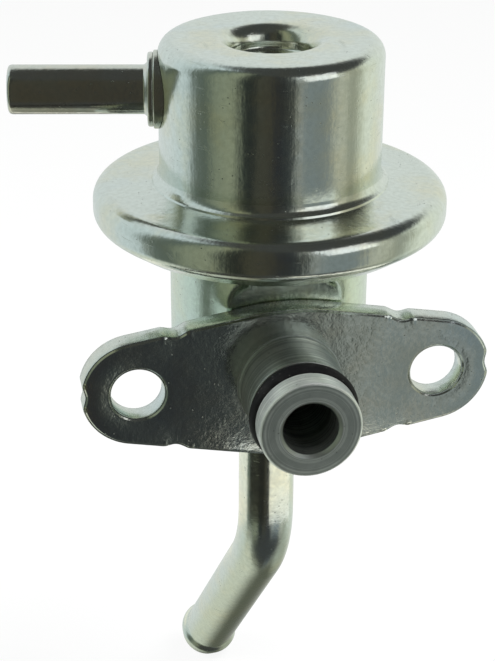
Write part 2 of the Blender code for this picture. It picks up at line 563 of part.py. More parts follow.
def make_lower_case():
    """Drawn fuel chamber with its clamped flange, and the flat that the plate sits against."""
    corner = BODY_CORNER_R
    clear = UPPER_WALL + SEAT_GAP
    flange_r = RIM_R - UPPER_WALL - HOLE_GAP
    cone_top_r = flange_r - BRIM_CORNER
    cone_low_r = LIP_END_R - LIP_OVERHANG
    cone_low_z = lip_line(clear, cone_low_r)
    shoulder_r = cone_low_r - SHOULDER_WIDTH
    shoulder_z = cone_low_z - SHOULDER_DROP
    outer = [(0.0, FLANGE_TOP_Z), (flange_r, FLANGE_TOP_Z), (flange_r, FLANGE_TOP_Z - FLANGE_EDGE)]
    outer += [(cone_top_r, lip_line(clear, cone_top_r)), (cone_low_r, cone_low_z)]
    outer.append(((cone_low_r + shoulder_r) / 2, cone_low_z - SHOULDER_DROP / 2))
    outer.append((shoulder_r, shoulder_z + SHOULDER_SLOPE))
    outer += arc(BODY_R + NECK_FILLET, shoulder_z - NECK_FILLET, NECK_FILLET, 90, 180, 4)
    outer += arc(BODY_R - corner, BODY_BOTTOM_Z + corner, corner, 0, -90, 4)
    outer.append((0.0, BODY_BOTTOM_Z))
    case = on_axis(turned("lower_case", outer, STEEL))

    floor_z = shoulder_z + LOWER_WALL
    chamber_top_z = FLANGE_TOP_Z + LOWER_WALL
    bottom_z = BODY_BOTTOM_Z + LOWER_WALL
    bottom_corner = corner - HOLE_GAP
    cavity = [(0.0, chamber_top_z), (CHAMBER_R, chamber_top_z)]
    cavity.append((CHAMBER_R, FLANGE_TOP_Z - SHOULDER_SLOPE))
    cavity.append((CHAMBER_R - CHAMBER_SLOPE, floor_z + SHOULDER_SLOPE))
    cavity.append((CHAMBER_R - 2 * CHAMBER_SLOPE, floor_z))
    cavity += [(CAVITY_R + CHAMBER_SLOPE, floor_z), (CAVITY_R, floor_z - CHAMBER_SLOPE)]
    cavity += [(CAVITY_R, bottom_z + bottom_corner), (CAVITY_R - bottom_corner, bottom_z), (0.0, bottom_z)]
    hollow = as_cutter(on_axis(turned("fuel_chamber", cavity, None, MAIN_STEPS, CUTTERS)))
    pad_half = math.sqrt(BODY_R ** 2 - PAD_BACK ** 2) + PAD_SIDE
    pad_top_z = shoulder_z - PAD_DROP
    pad_bottom_z = BODY_BOTTOM_Z - PAD_REACH
    in_front = AXIS_BACK - 2 * BODY_R
    inner_wall = rounded_block("pad_wall", pad_half + LOWER_WALL, pad_bottom_z - LOWER_WALL,
                               pad_top_z + LOWER_WALL, in_front, AXIS_BACK - PAD_INNER_BACK, PAD_ROUND)
    pad = rounded_block("pad_flat", pad_half, pad_bottom_z,
                        pad_top_z, in_front, AXIS_BACK - PAD_BACK, PAD_ROUND)
    place = Vector((0.0, -AXIS_BACK, 0.0))
    for block in (inner_wall, pad):
        block.data.transform(Matrix.Translation(place))
        on_axis(block)
    subtract(hollow, inner_wall)
    pipe_hole = drum("pipe_hole", PIPE_R + HOLE_GAP, BODY_BOTTOM_Z - LOWER_WALL,
                     BODY_BOTTOM_Z + 2 * LOWER_WALL, SMALL_STEPS, CUTTERS)
    spigot_hole = drum("spigot_hole", SPIGOT_STEM_R + HOLE_GAP, -SPIGOT_END - LOWER_WALL, SPIGOT_STEM_R,
                       SMALL_STEPS, CUTTERS)
    subtract(case, pad)
    subtract(case, hollow)
    subtract(case, as_cutter(on_axis(pipe_hole)))
    subtract(case, as_cutter(along_spigot(spigot_hole)))


def make_spigot():
    """Turned inlet with its O-ring groove, and the ring in it."""
    groove_front = SPIGOT_LENGTH - NOSE_WIDTH
    groove_back = groove_front - GROOVE_WIDTH
    profile = [(SPIGOT_BORE_R + BORE_CHAMFER, SPIGOT_LENGTH), (SPIGOT_NOSE_R - NOSE_CHAMFER, SPIGOT_LENGTH)]
    profile += [(SPIGOT_NOSE_R, SPIGOT_LENGTH - NOSE_CHAMFER), (SPIGOT_NOSE_R, groove_front)]
    profile += [(GROOVE_BOTTOM_R, groove_front), (GROOVE_BOTTOM_R, groove_back), (SPIGOT_R, groove_back)]
    profile += [(SPIGOT_R, -PLATE_THICK), (SPIGOT_STEM_R, -PLATE_THICK), (SPIGOT_STEM_R, -SPIGOT_END)]
    profile += [(SPIGOT_BORE_R, -SPIGOT_END), (SPIGOT_BORE_R, SPIGOT_LENGTH - BORE_CHAMFER)]
    along_spigot(turned("inlet_spigot", profile, TURNED_STEEL, SMALL_STEPS, closed=True))
    ring = arc(O_RING_R, O_RING_ALONG, O_RING_SECTION_R, 90, -270, 8)[:-1]
    along_spigot(turned("o_ring", ring, RUBBER, SMALL_STEPS, closed=True))


def plate_lean():
    """Slope of the plate's straight flanks, tangent to its hump and to its round ends."""
    half_spacing = BOLT_SPACING / 2
    hump_drop = PLATE_HUMP_R - PLATE_HALF_HEIGHT
    reach = math.hypot(half_spacing, hump_drop)
    return math.atan2(half_spacing, hump_drop) - math.acos((PLATE_HUMP_R - PLATE_END_R) / reach)


def plate_outline():
    """Outline of the plate in X and Z: two round ends joined over a central hump."""
    half_spacing = BOLT_SPACING / 2
    lean = math.degrees(plate_lean())
    hump_z = PLATE_HALF_HEIGHT - PLATE_HUMP_R
    top = arc(0.0, hump_z, PLATE_HUMP_R, 90 - lean, 90 + lean, 6)
    left = arc(-half_spacing, 0.0, PLATE_END_R, 90 + lean, 270 - lean, 14)
    bottom = [(-x, -z) for x, z in top]
    right = [(-x, -z) for x, z in left]
    return top + left + bottom + right


def make_plate():
    """Stamped plate with two bolt holes, the spigot's hole, a rolled front edge and six tool marks."""
    curve = bpy.data.curves.new("plate_outline", "CURVE")
    curve.dimensions = "2D"
    curve.fill_mode = "BOTH"
    curve.extrude = PLATE_THICK / 2
    outline = plate_outline()
    spline = curve.splines.new("POLY")
    spline.points.add(len(outline) - 1)
    for point, (x, z) in zip(spline.points, outline):
        point.co = (x, z, 0.0, 1.0)
    spline.use_cyclic_u = True
    flat = add_object("plate_flat", curve)
    bpy.context.view_layer.update()
    evaluated = flat.evaluated_get(bpy.context.evaluated_depsgraph_get())
    mesh = bpy.data.meshes.new_from_object(evaluated)
    bpy.data.objects.remove(flat, do_unlink=True)
    bm = bmesh.new()
    bm.from_mesh(mesh)
    bmesh.ops.remove_doubles(bm, verts=bm.verts, dist=0.000001)
    bmesh.ops.dissolve_limit(bm, angle_limit=math.radians(1.0), verts=bm.verts, edges=bm.edges)
    bmesh.ops.recalc_face_normals(bm, faces=bm.faces)
    stand = Matrix.Translation((0.0, PLATE_THICK / 2, 0.0)) @ Matrix.Rotation(math.radians(90.0), 4, "X")
    bmesh.ops.transform(bm, matrix=stand, verts=bm.verts)
    front = [e for e in bm.edges if all(abs(v.co.y) < 0.00001 for v in e.verts)]
    rim = [e for e in front if any(abs(f.normal.y) < 0.5 for f in e.link_faces)]
    bmesh.ops.bevel(bm, geom=rim, offset=PLATE_EDGE_ROLL, segments=2, profile=0.5, affect="EDGES",
                    material=-1)
    bm.to_mesh(mesh)
    bm.free()
    mesh.name = "mounting_plate"
    plate = add_object("mounting_plate", mesh)
    give_material(plate, STEEL)
    smooth(plate)

    def through(name, radius, x, z, steps=SMALL_STEPS):
        cutter = along_spigot(drum(name, radius, -2 * PLATE_THICK, PLATE_THICK, steps, CUTTERS))
        cutter.location = (x, 0.0, z)
        subtract(plate, as_cutter(cutter))

    half_spacing = BOLT_SPACING / 2
    through("left_bolt_hole", BOLT_HOLE_R, -half_spacing, 0.0)
    through("right_bolt_hole", BOLT_HOLE_R, half_spacing, 0.0)
    through("plate_spigot_hole", SPIGOT_R + HOLE_GAP, 0.0, 0.0)
    lean = plate_lean()
    flank_z = PLATE_HALF_HEIGHT - PLATE_HUMP_R * (1.0 - math.cos(lean))
    flank_z -= (NICK_X - PLATE_HUMP_R * math.sin(lean)) * math.tan(lean)
    reach = NICK_R - NICK_DEPTH
    for side in (-1, 1):
        for rise in (-1, 1):
            x = side * (NICK_X + reach * math.sin(lean))
            z = rise * (flank_z + reach * math.cos(lean))
            through(f"flank_nick_{side + 2}_{rise + 2}", NICK_R, x, z)
        x = side * (half_spacing + PLATE_END_R + reach)
        through(f"end_nick_{side + 2}", NICK_R, x, 0.0)
    return plate


make_upper_case()
make_nipple()
make_spring_seat()
make_spring()
make_diaphragm_stack()
make_valve()
make_pipe()
make_lower_case()
make_spigot()
make_plate()
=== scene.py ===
"""Looks of a fuel pressure regulator: plated cup and case, stamped plate, turned spigot, bent return pipe."""

import logging
import math
from dataclasses import dataclass
from enum import Enum
from typing import Callable, Optional, Sequence

import bmesh
import bpy
from mathutils import Matrix, Vector, noise


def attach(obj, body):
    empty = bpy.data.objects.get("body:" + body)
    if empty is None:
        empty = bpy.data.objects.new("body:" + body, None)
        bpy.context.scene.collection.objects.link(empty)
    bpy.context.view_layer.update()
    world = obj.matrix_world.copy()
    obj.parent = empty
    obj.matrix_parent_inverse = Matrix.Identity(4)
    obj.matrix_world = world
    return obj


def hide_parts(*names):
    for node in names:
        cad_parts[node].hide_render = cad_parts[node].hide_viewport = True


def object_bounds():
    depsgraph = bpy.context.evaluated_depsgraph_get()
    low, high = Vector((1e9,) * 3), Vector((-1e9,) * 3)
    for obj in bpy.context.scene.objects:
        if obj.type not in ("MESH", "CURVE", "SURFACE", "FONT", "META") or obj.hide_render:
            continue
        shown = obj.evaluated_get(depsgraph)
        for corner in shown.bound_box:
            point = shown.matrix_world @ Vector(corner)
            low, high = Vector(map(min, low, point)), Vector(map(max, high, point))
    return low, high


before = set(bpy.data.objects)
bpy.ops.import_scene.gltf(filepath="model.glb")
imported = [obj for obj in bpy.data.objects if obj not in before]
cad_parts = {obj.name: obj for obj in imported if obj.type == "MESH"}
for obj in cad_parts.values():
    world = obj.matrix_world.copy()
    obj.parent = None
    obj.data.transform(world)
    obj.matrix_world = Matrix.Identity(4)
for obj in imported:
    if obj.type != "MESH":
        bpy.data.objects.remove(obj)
CAD_LOW, CAD_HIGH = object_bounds()

MM = 0.001
FULL_TURN = 2.0 * math.pi
LOG = logging.getLogger("regulator")

Point = tuple[float, float]
Corner = tuple[float, float, float]
Colour = tuple[float, float, float]


class Body(Enum):
    """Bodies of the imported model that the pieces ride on."""

    HOUSING = "housing"
    VALVE = "valve"


class Way(Enum):
    """Directions that a turned piece's axis can be laid in."""

    UPRIGHT = "upright"
    SPIGOT = "spigot"
    NIPPLE = "nipple"


# Shader graph


class Signal:
    """A shader socket that takes part in Python expressions."""

    def __init__(self, graph: "Graph", socket: bpy.types.NodeSocket) -> None:
        """Hold a socket and the graph it belongs to."""
        self.graph = graph
        self.socket = socket

    def combine(self, operation: str, first: "Signal | float", second: "Signal | float") -> "Signal":
        """Add one Math node.

        Args:
            operation: The node's operation.
            first: Value or signal of its first input.
            second: Value or signal of its second input.

        Returns:
            The node's output.
        """
        return self.graph.signal("ShaderNodeMath", {"operation": operation}, {0: first, 1: second})

    def __add__(self, other: "Signal | float") -> "Signal":
        """Sum."""
        return self.combine("ADD", self, other)

    def __radd__(self, other: float) -> "Signal":
        """Sum, reflected."""
        return self.combine("ADD", other, self)

    def __sub__(self, other: "Signal | float") -> "Signal":
        """Difference."""
        return self.combine("SUBTRACT", self, other)

    def __rsub__(self, other: float) -> "Signal":
        """Difference, reflected."""
        return self.combine("SUBTRACT", other, self)

    def __mul__(self, other: "Signal | float") -> "Signal":
        """Product."""
        return self.combine("MULTIPLY", self, other)

    def __rmul__(self, other: float) -> "Signal":
        """Product, reflected."""
        return self.combine("MULTIPLY", other, self)

    def __truediv__(self, other: "Signal | float") -> "Signal":
        """Quotient."""
        return self.combine("DIVIDE", self, other)

    def __pow__(self, other: "Signal | float") -> "Signal":
        """Power."""
        return self.combine("POWER", self, other)

    def above(self, low: float, high: float) -> "Signal":
        """Rise smoothly from 0 to 1.

        Args:
            low: Value where the rise starts.
            high: Value where it ends, which may be lower than low.

        Returns:
            The risen signal.
        """
        settings = {"interpolation_type": "SMOOTHSTEP"}
        return self.graph.signal("ShaderNodeMapRange", settings, {0: self, 1: low, 2: high, 3: 0.0, 4: 1.0})


class Graph:
    """Node tree of one material or of the world, with the few calls that build it."""

    def __init__(self, tree: bpy.types.NodeTree) -> None:
        """Empty the tree and keep it."""
        self.tree = tree
        tree.nodes.clear()

    def node(self, kind: str, settings: Optional[dict] = None,
             inputs: Optional[dict] = None) -> bpy.types.Node:
        """Add a node.

        Args:
            kind: The node's type.
            settings: Its own properties, and "stops" for a colour ramp. They are set first.
            inputs: Values or links, by socket name or number.

        Returns:
            The new node.
        """
        made = self.tree.nodes.new(kind)
        for key, value in (settings or {}).items():
            if key == "stops":
                self.set_stops(made.color_ramp, value)
            else:
                setattr(made, key, value)
        for key, value in (inputs or {}).items():
            if isinstance(value, Signal):
                self.tree.links.new(value.socket, made.inputs[key])
            else:
                made.inputs[key].default_value = value
        return made

    def set_stops(self, ramp: bpy.types.ColorRamp, stops: Sequence[tuple[float, Colour]]) -> None:
        """Give a colour ramp its stops.

        Args:
            ramp: The ramp.
            stops: Place and colour of each stop, in order.
        """
        while len(ramp.elements) < len(stops):
            ramp.elements.new(1.0)
        for element, (place, colour) in zip(ramp.elements, stops):
            element.position = place
            element.color = (*colour, 1.0)

    def signal(self, kind: str, settings: Optional[dict] = None, inputs: Optional[dict] = None,
               output: "int | str" = 0) -> Signal:
        """Add a node and take one of its outputs.

        Args:
            kind: The node's type.
            settings: Its own properties.
            inputs: Values or links of its sockets.
            output: Name or number of the output.

        Returns:
            That output.
        """
        return Signal(self, self.node(kind, settings, inputs).outputs[output])

    def blend(self, first: "Signal | Colour", second: "Signal | Colour", share: "Signal | float",
              mode: str = "MIX") -> Signal:
        """Blend two colours.

        Args:
            first: Colour at share 0.
            second: Colour at share 1.
            share: How much of the second.
            mode: Blend type of the Mix node.

        Returns:
            The blended colour.
        """
        made = self.node("ShaderNodeMix", {"data_type": "RGBA", "blend_type": mode})
        for key, value in ((0, share), (6, first), (7, second)):
            if isinstance(value, Signal):
                self.tree.links.new(value.socket, made.inputs[key])
            else:
                made.inputs[key].default_value = value if key == 0 else (*value, 1.0)
        return Signal(self, made.outputs[2])

    def place(self) -> Signal:
        """Object coordinates, in metres."""
        return self.signal("ShaderNodeTexCoord", output="Object")

    def stretched(self, scale: Sequence[float], place: Optional[Signal] = None) -> Signal:
        """Coordinates scaled differently along each axis.

        Args:
            scale: Scale along X, Y and Z.
            place: The coordinates, or the piece's own.

        Returns:
            The scaled coordinates.
        """
        return self.signal("ShaderNodeMapping", None, {"Vector": place or self.place(), "Scale": scale})

    def noise(self, place: Signal, scale: float, detail: float = 3.0, rough: float = 0.5) -> Signal:
        """Noise from 0 to 1.

        Args:
            place: Coordinates.
            scale: Features in a metre.
            detail: Octaves.
            rough: Strength of the finer octaves.

        Returns:
            The noise value.
        """
        inputs = {"Vector": place, "Scale": scale, "Detail": detail, "Roughness": rough}
        return self.signal("ShaderNodeTexNoise", None, inputs)

    def specks(self, place: Signal, scale: float, size: float) -> Signal:
        """Small round specks, 1 in their middles.

        Args:
            place: Coordinates.
            scale: Cells in a metre.
            size: Radius of a speck, as a share of its cell.

        Returns:
            The speck mask.
        """
        inputs = {"Vector": place, "Scale": scale, "Randomness": 1.0}
        far = self.signal("ShaderNodeTexVoronoi", None, inputs, "Distance")
        return far.above(size, size * 0.4)

    def bump(self, height: Signal, distance: float, strength: float = 1.0,
             normal: Optional[Signal] = None) -> Signal:
        """Turn a height into a normal.

        Args:
            height: Height from 0 to 1.
            distance: What a height of 1 stands for, in metres.
            strength: Share of the full effect.
            normal: Normal of the bump under this one.

        Returns:
            The bumped normal.
        """
        inputs = {"Height": height, "Distance": distance, "Strength": strength}
        if normal is not None:
            inputs["Normal"] = normal
        return self.signal("ShaderNodeBump", None, inputs)


def new_graph(name: str) -> tuple[bpy.types.Material, Graph]:
    """Start a node material.

    Args:
        name: The material's name.

    Returns:
        The material and its empty graph.
    """
    material = bpy.data.materials.new(name)
    material.use_nodes = True
    return material, Graph(material.node_tree)


def close_graph(graph: Graph, inputs: dict) -> None:
    """Add the Principled shader and the output.

    Args:
        graph: The material's graph.
        inputs: Values and links of the shader.
    """
    shader = graph.signal("ShaderNodeBsdfPrincipled", None, inputs)
    graph.node("ShaderNodeOutputMaterial", None, {"Surface": shader})


# Finishes


@dataclass(frozen=True)
class ZincFinish:
    """Bright zinc plating with a thin passivation that goes from pale green to straw and blue."""

    name: str
    silver: Colour = (0.76, 0.81, 0.77)
    straw: Colour = (0.80, 0.78, 0.62)
    blue: Colour = (0.66, 0.76, 0.82)
    dull: Colour = (0.58, 0.62, 0.57)
    speck: Colour = (0.16, 0.17, 0.15)
    roughness: float = 0.16
    grain: float = 2.4
    mottled: float = 0.34
    drawn: tuple[float, float, float] = (1.0, 1.0, 0.12)
    wave: float = 1.0
    scratched: float = 1.0
    sheared: bool = False

    def sheared_wall(self, graph: Graph, height: Signal, rough: Signal) -> tuple[Signal, Signal]:
        """Tear lines on the punched walls, which stand square to the plate's face.

        Args:
            graph: The material's graph.
            height: Height so far.
            rough: Roughness so far.

        Returns:
            The new height and roughness.
        """
        normal = graph.signal("ShaderNodeNewGeometry", output="Normal")
        split = graph.node("ShaderNodeSeparateXYZ", None, {0: normal})
        facing = Signal(graph, split.outputs[1])
        wall = 1.0 - (facing * facing).above(0.05, 0.35)
        tears = graph.noise(graph.stretched((1.0, 0.05, 1.0)), 1900.0, 3.0, 0.7)
        steps = graph.noise(graph.stretched((0.12, 1.0, 0.12)), 2400.0, 2.0, 0.5)
        return height + wall * (tears * 1.2 + steps * 1.6), rough + wall * 0.10

    def make(self) -> bpy.types.Material:
        """Build the material."""
        material, graph = new_graph(self.name)
        place = graph.place()
        cloud = graph.noise(place, 95.0, 4.0, 0.55)
        fine_cloud = graph.noise(place, 420.0, 3.0, 0.6)
        straw_share = (cloud * 0.75 + fine_cloud * 0.25).above(0.44, 0.64)
        blue_share = graph.noise(graph.stretched((1.0, 1.0, 0.6)), 70.0, 3.0, 0.5).above(0.52, 0.70)
        colour = graph.blend(self.silver, self.straw, straw_share * 0.8)
        colour = graph.blend(colour, self.blue, blue_share * 0.7)
        mottle = graph.noise(place, 1500.0, 2.0, 0.6).above(0.3, 0.7)
        colour = graph.blend(colour, self.dull, mottle * self.mottled)
        pits = graph.specks(place, 1300.0, 0.15) * graph.noise(place, 240.0, 2.0).above(0.5, 0.62)
        colour = graph.blend(colour, self.speck, pits * 0.6)
        lines = graph.noise(graph.stretched(self.drawn), 2600.0, 2.0, 0.5)
        across = graph.stretched((1.0, 0.25, 9.0), place)
        turned = graph.signal("ShaderNodeVectorRotate", {"rotation_type": "EULER_XYZ"},
                              {"Vector": place, "Rotation": (0.5, 0.9, 0.3)})
        along = graph.stretched((6.0, 6.0, 0.4), turned)
        scratches = graph.noise(across, 420.0, 1.0, 0.4).above(0.72, 0.77)
        scratches = scratches + graph.noise(along, 260.0, 1.0, 0.4).above(0.74, 0.78)
        scratches = scratches * self.scratched
        colour = graph.blend(colour, self.dull, scratches * 0.35)
        rough = self.roughness + (fine_cloud - 0.5) * 0.10 + mottle * 0.04 + pits * 0.25 + scratches * 0.10
        height = mottle * 0.6 + lines * 0.5 - pits * 1.6 - scratches * 0.5
        if self.sheared:
            height, rough = self.sheared_wall(graph, height, rough)
        normal = graph.bump(height, 0.0000035 * self.grain, 1.0)
        waves = graph.noise(place, 160.0, 2.0, 0.4)
        normal = graph.bump(waves, 0.00010 * self.wave, 0.5, normal)
        streaks = graph.noise(graph.stretched(self.drawn), 620.0, 3.0, 0.65)
        normal = graph.bump(streaks, 0.000022 * self.wave, 1.0, normal)
        close_graph(graph, {"Base Color": colour, "Metallic": 1.0, "Roughness": rough, "Normal": normal})
        return material


@dataclass(frozen=True)
class TurnedFinish:
    """Zinc on turned steel, with the rings that the tool leaves about the spigot's axis."""

    name: str
    base: Colour = (0.74, 0.78, 0.74)
    dark: Colour = (0.54, 0.58, 0.55)
    groove: Colour = (0.30, 0.33, 0.32)
    rings: float = 3400.0
    roughness: float = 0.34
    scatter: float = 0.24
    nose_r: float = 0.0061
    nose_y: float = -0.0098
    nose_fade: float = 0.0002
    axis: int = 1

    def make(self) -> bpy.types.Material:
        """Build the material."""
        material, graph = new_graph(self.name)
        place = graph.place()
        parts = graph.node("ShaderNodeSeparateXYZ", None, {0: place})
        across = [Signal(graph, parts.outputs[i]) for i in range(3) if i != self.axis]
        along = Signal(graph, parts.outputs[self.axis])
        radius = (across[0] * across[0] + across[1] * across[1]) ** 0.5
        lathe = graph.signal("ShaderNodeCombineXYZ", None, {0: radius, 1: along, 2: 0.0})
        grooves = graph.noise(lathe, self.rings, 1.0, 0.5)
        bands = graph.noise(lathe, self.rings / 4.0, 2.0, 0.5)
        cloud = graph.noise(place, 500.0, 3.0, 0.6)
        colour = graph.blend(self.base, self.dark, (bands * 0.6 + cloud * 0.4).above(0.40, 0.62))
        colour = graph.blend(colour, self.groove, grooves.above(0.42, 0.60) * 0.5)
        dirt = graph.specks(place, 1400.0, 0.2) * cloud.above(0.45, 0.6)
        colour = graph.blend(colour, (0.12, 0.12, 0.11), dirt * 0.6)
        nose = radius.above(self.nose_r, self.nose_r + self.nose_fade)
        nose = nose * along.above(self.nose_y, self.nose_y - self.nose_fade)
        metallic = 0.97 - nose * (self.scatter + (bands - 0.5) * 0.6)
        rough = self.roughness + (cloud - 0.5) * 0.16 + grooves * 0.10
        normal = graph.bump(grooves - dirt, 0.0000030, 1.0)
        close_graph(graph, {"Base Color": colour, "Metallic": metallic, "Roughness": rough, "Normal": normal})
        return material


@dataclass(frozen=True)
class RubberFinish:
    """Moulded black rubber with a faint bloom and a little grain."""

    name: str
    base: Colour = (0.004, 0.004, 0.0045)
    bloom: Colour = (0.009, 0.009, 0.009)
    roughness: float = 0.5

    def make(self) -> bpy.types.Material:
        """Build the material."""
        material, graph = new_graph(self.name)
        place = graph.place()
        cloud = graph.noise(place, 600.0, 4.0, 0.6)
        grain = graph.noise(place, 6000.0, 2.0, 0.5)
        dust = graph.specks(place, 1600.0, 0.14)
        colour = graph.blend(self.base, self.bloom, cloud.above(0.42, 0.75))
        colour = graph.blend(colour, (0.20, 0.20, 0.19), dust * 0.3)
        rough = self.roughness + cloud * 0.18
        normal = graph.bump(grain + cloud, 0.000012, 1.0)
        close_graph(graph, {"Base Color": colour, "Metallic": 0.0, "Roughness": rough, "Normal": normal,
                            "Specular IOR Level": 0.22})
        return material


@dataclass(frozen=True)
class PlainMetalFinish:
    """Bare metal of the inner pieces, drawn or turned, with oil stains."""

    name: str
    base: Colour
    stain: Colour
    roughness: float = 0.35

    def make(self) -> bpy.types.Material:
        """Build the material."""
        material, graph = new_graph(self.name)
        place = graph.place()
        cloud = graph.noise(place, 350.0, 4.0, 0.6)
        lines = graph.noise(graph.stretched((0.2, 0.2, 6.0)), 1500.0, 2.0, 0.5)
        pits = graph.specks(place, 1200.0, 0.15)
        colour = graph.blend(self.base, self.stain, (cloud * 0.8 + lines * 0.2).above(0.42, 0.70))
        rough = self.roughness + (cloud - 0.5) * 0.2 + pits * 0.2
        normal = graph.bump(lines - pits + cloud * 0.4, 0.000008, 1.0)
        close_graph(graph, {"Base Color": colour, "Metallic": 1.0, "Roughness": rough, "Normal": normal})
        return material


# Shapes


def arc(centre_r: float, centre_z: float, radius: float, start: float, end: float, count: int) -> list[Point]:
    """Points along an arc of a profile.

    Args:
        centre_r: Centre's distance from the axis.
        centre_z: Centre's height.
        radius: Radius.
        start: First angle in degrees, from outwards towards +Z.
        end: Last angle.
        count: Number of steps.

    Returns:
        The points, ends included.
    """
    points = []
    for i in range(count + 1):
        angle = math.radians(start + (end - start) * i / count)
        points.append((centre_r + radius * math.cos(angle), centre_z + radius * math.sin(angle)))
    return points


def rounded(corners: Sequence[Corner], steps: int = 6) -> list[Point]:
    """Round the corners of an open profile.

    Args:
        corners: Distance from the axis, height and rounding radius of each corner.
        steps: Steps in each rounded corner.

    Returns:
        The rounded profile's points.
    """
    points = []
    for i, (r, z, radius) in enumerate(corners):
        here = Vector((r, z))
        if i == 0 or i == len(corners) - 1 or radius <= 0.0:
            points.append((r, z))
            continue
        to_last = (Vector(corners[i - 1][:2]) - here)
        to_next = (Vector(corners[i + 1][:2]) - here)
        half = to_last.angle(to_next) / 2.0
        cut = min(radius / math.tan(half), 0.48 * to_last.length, 0.48 * to_next.length)
        start = here + to_last.normalized() * cut
        end = here + to_next.normalized() * cut
        for k in range(steps + 1):
            t = k / steps
            spot = start * (1 - t) ** 2 + here * 2 * t * (1 - t) + end * t ** 2
            points.append((spot.x, spot.y))
    return points


def divided(points: Sequence[Point], longest: float) -> list[Point]:
    """Add points to a profile's long stretches.

    Args:
        points: The profile.
        longest: Longest stretch to leave.

    Returns:
        The finer profile.
    """
    finer = [points[0]]
    for a, b in zip(points, points[1:]):
        count = max(1, math.ceil(math.dist(a, b) / longest))
        for i in range(1, count + 1):
            finer.append((a[0] + (b[0] - a[0]) * i / count, a[1] + (b[1] - a[1]) * i / count))
    return finer


def mesh_of(name: str, bm: bmesh.types.BMesh) -> bpy.types.Mesh:
    """Turn a working mesh into a finished one.

    Args:
        name: Its name.
        bm: The working mesh, which is freed.

    Returns:
        The mesh.
    """
    mesh = bpy.data.meshes.new(name)
    bm.to_mesh(mesh)
    bm.free()
    return mesh


def add_object(name: str, data: bpy.types.ID) -> bpy.types.Object:
    """Put an object in the scene.

    Args:
        name: Its name.
        data: Its mesh, camera or light.

    Returns:
        The object.
    """
    obj = bpy.data.objects.new(name, data)
    bpy.context.scene.collection.objects.link(obj)
    return obj


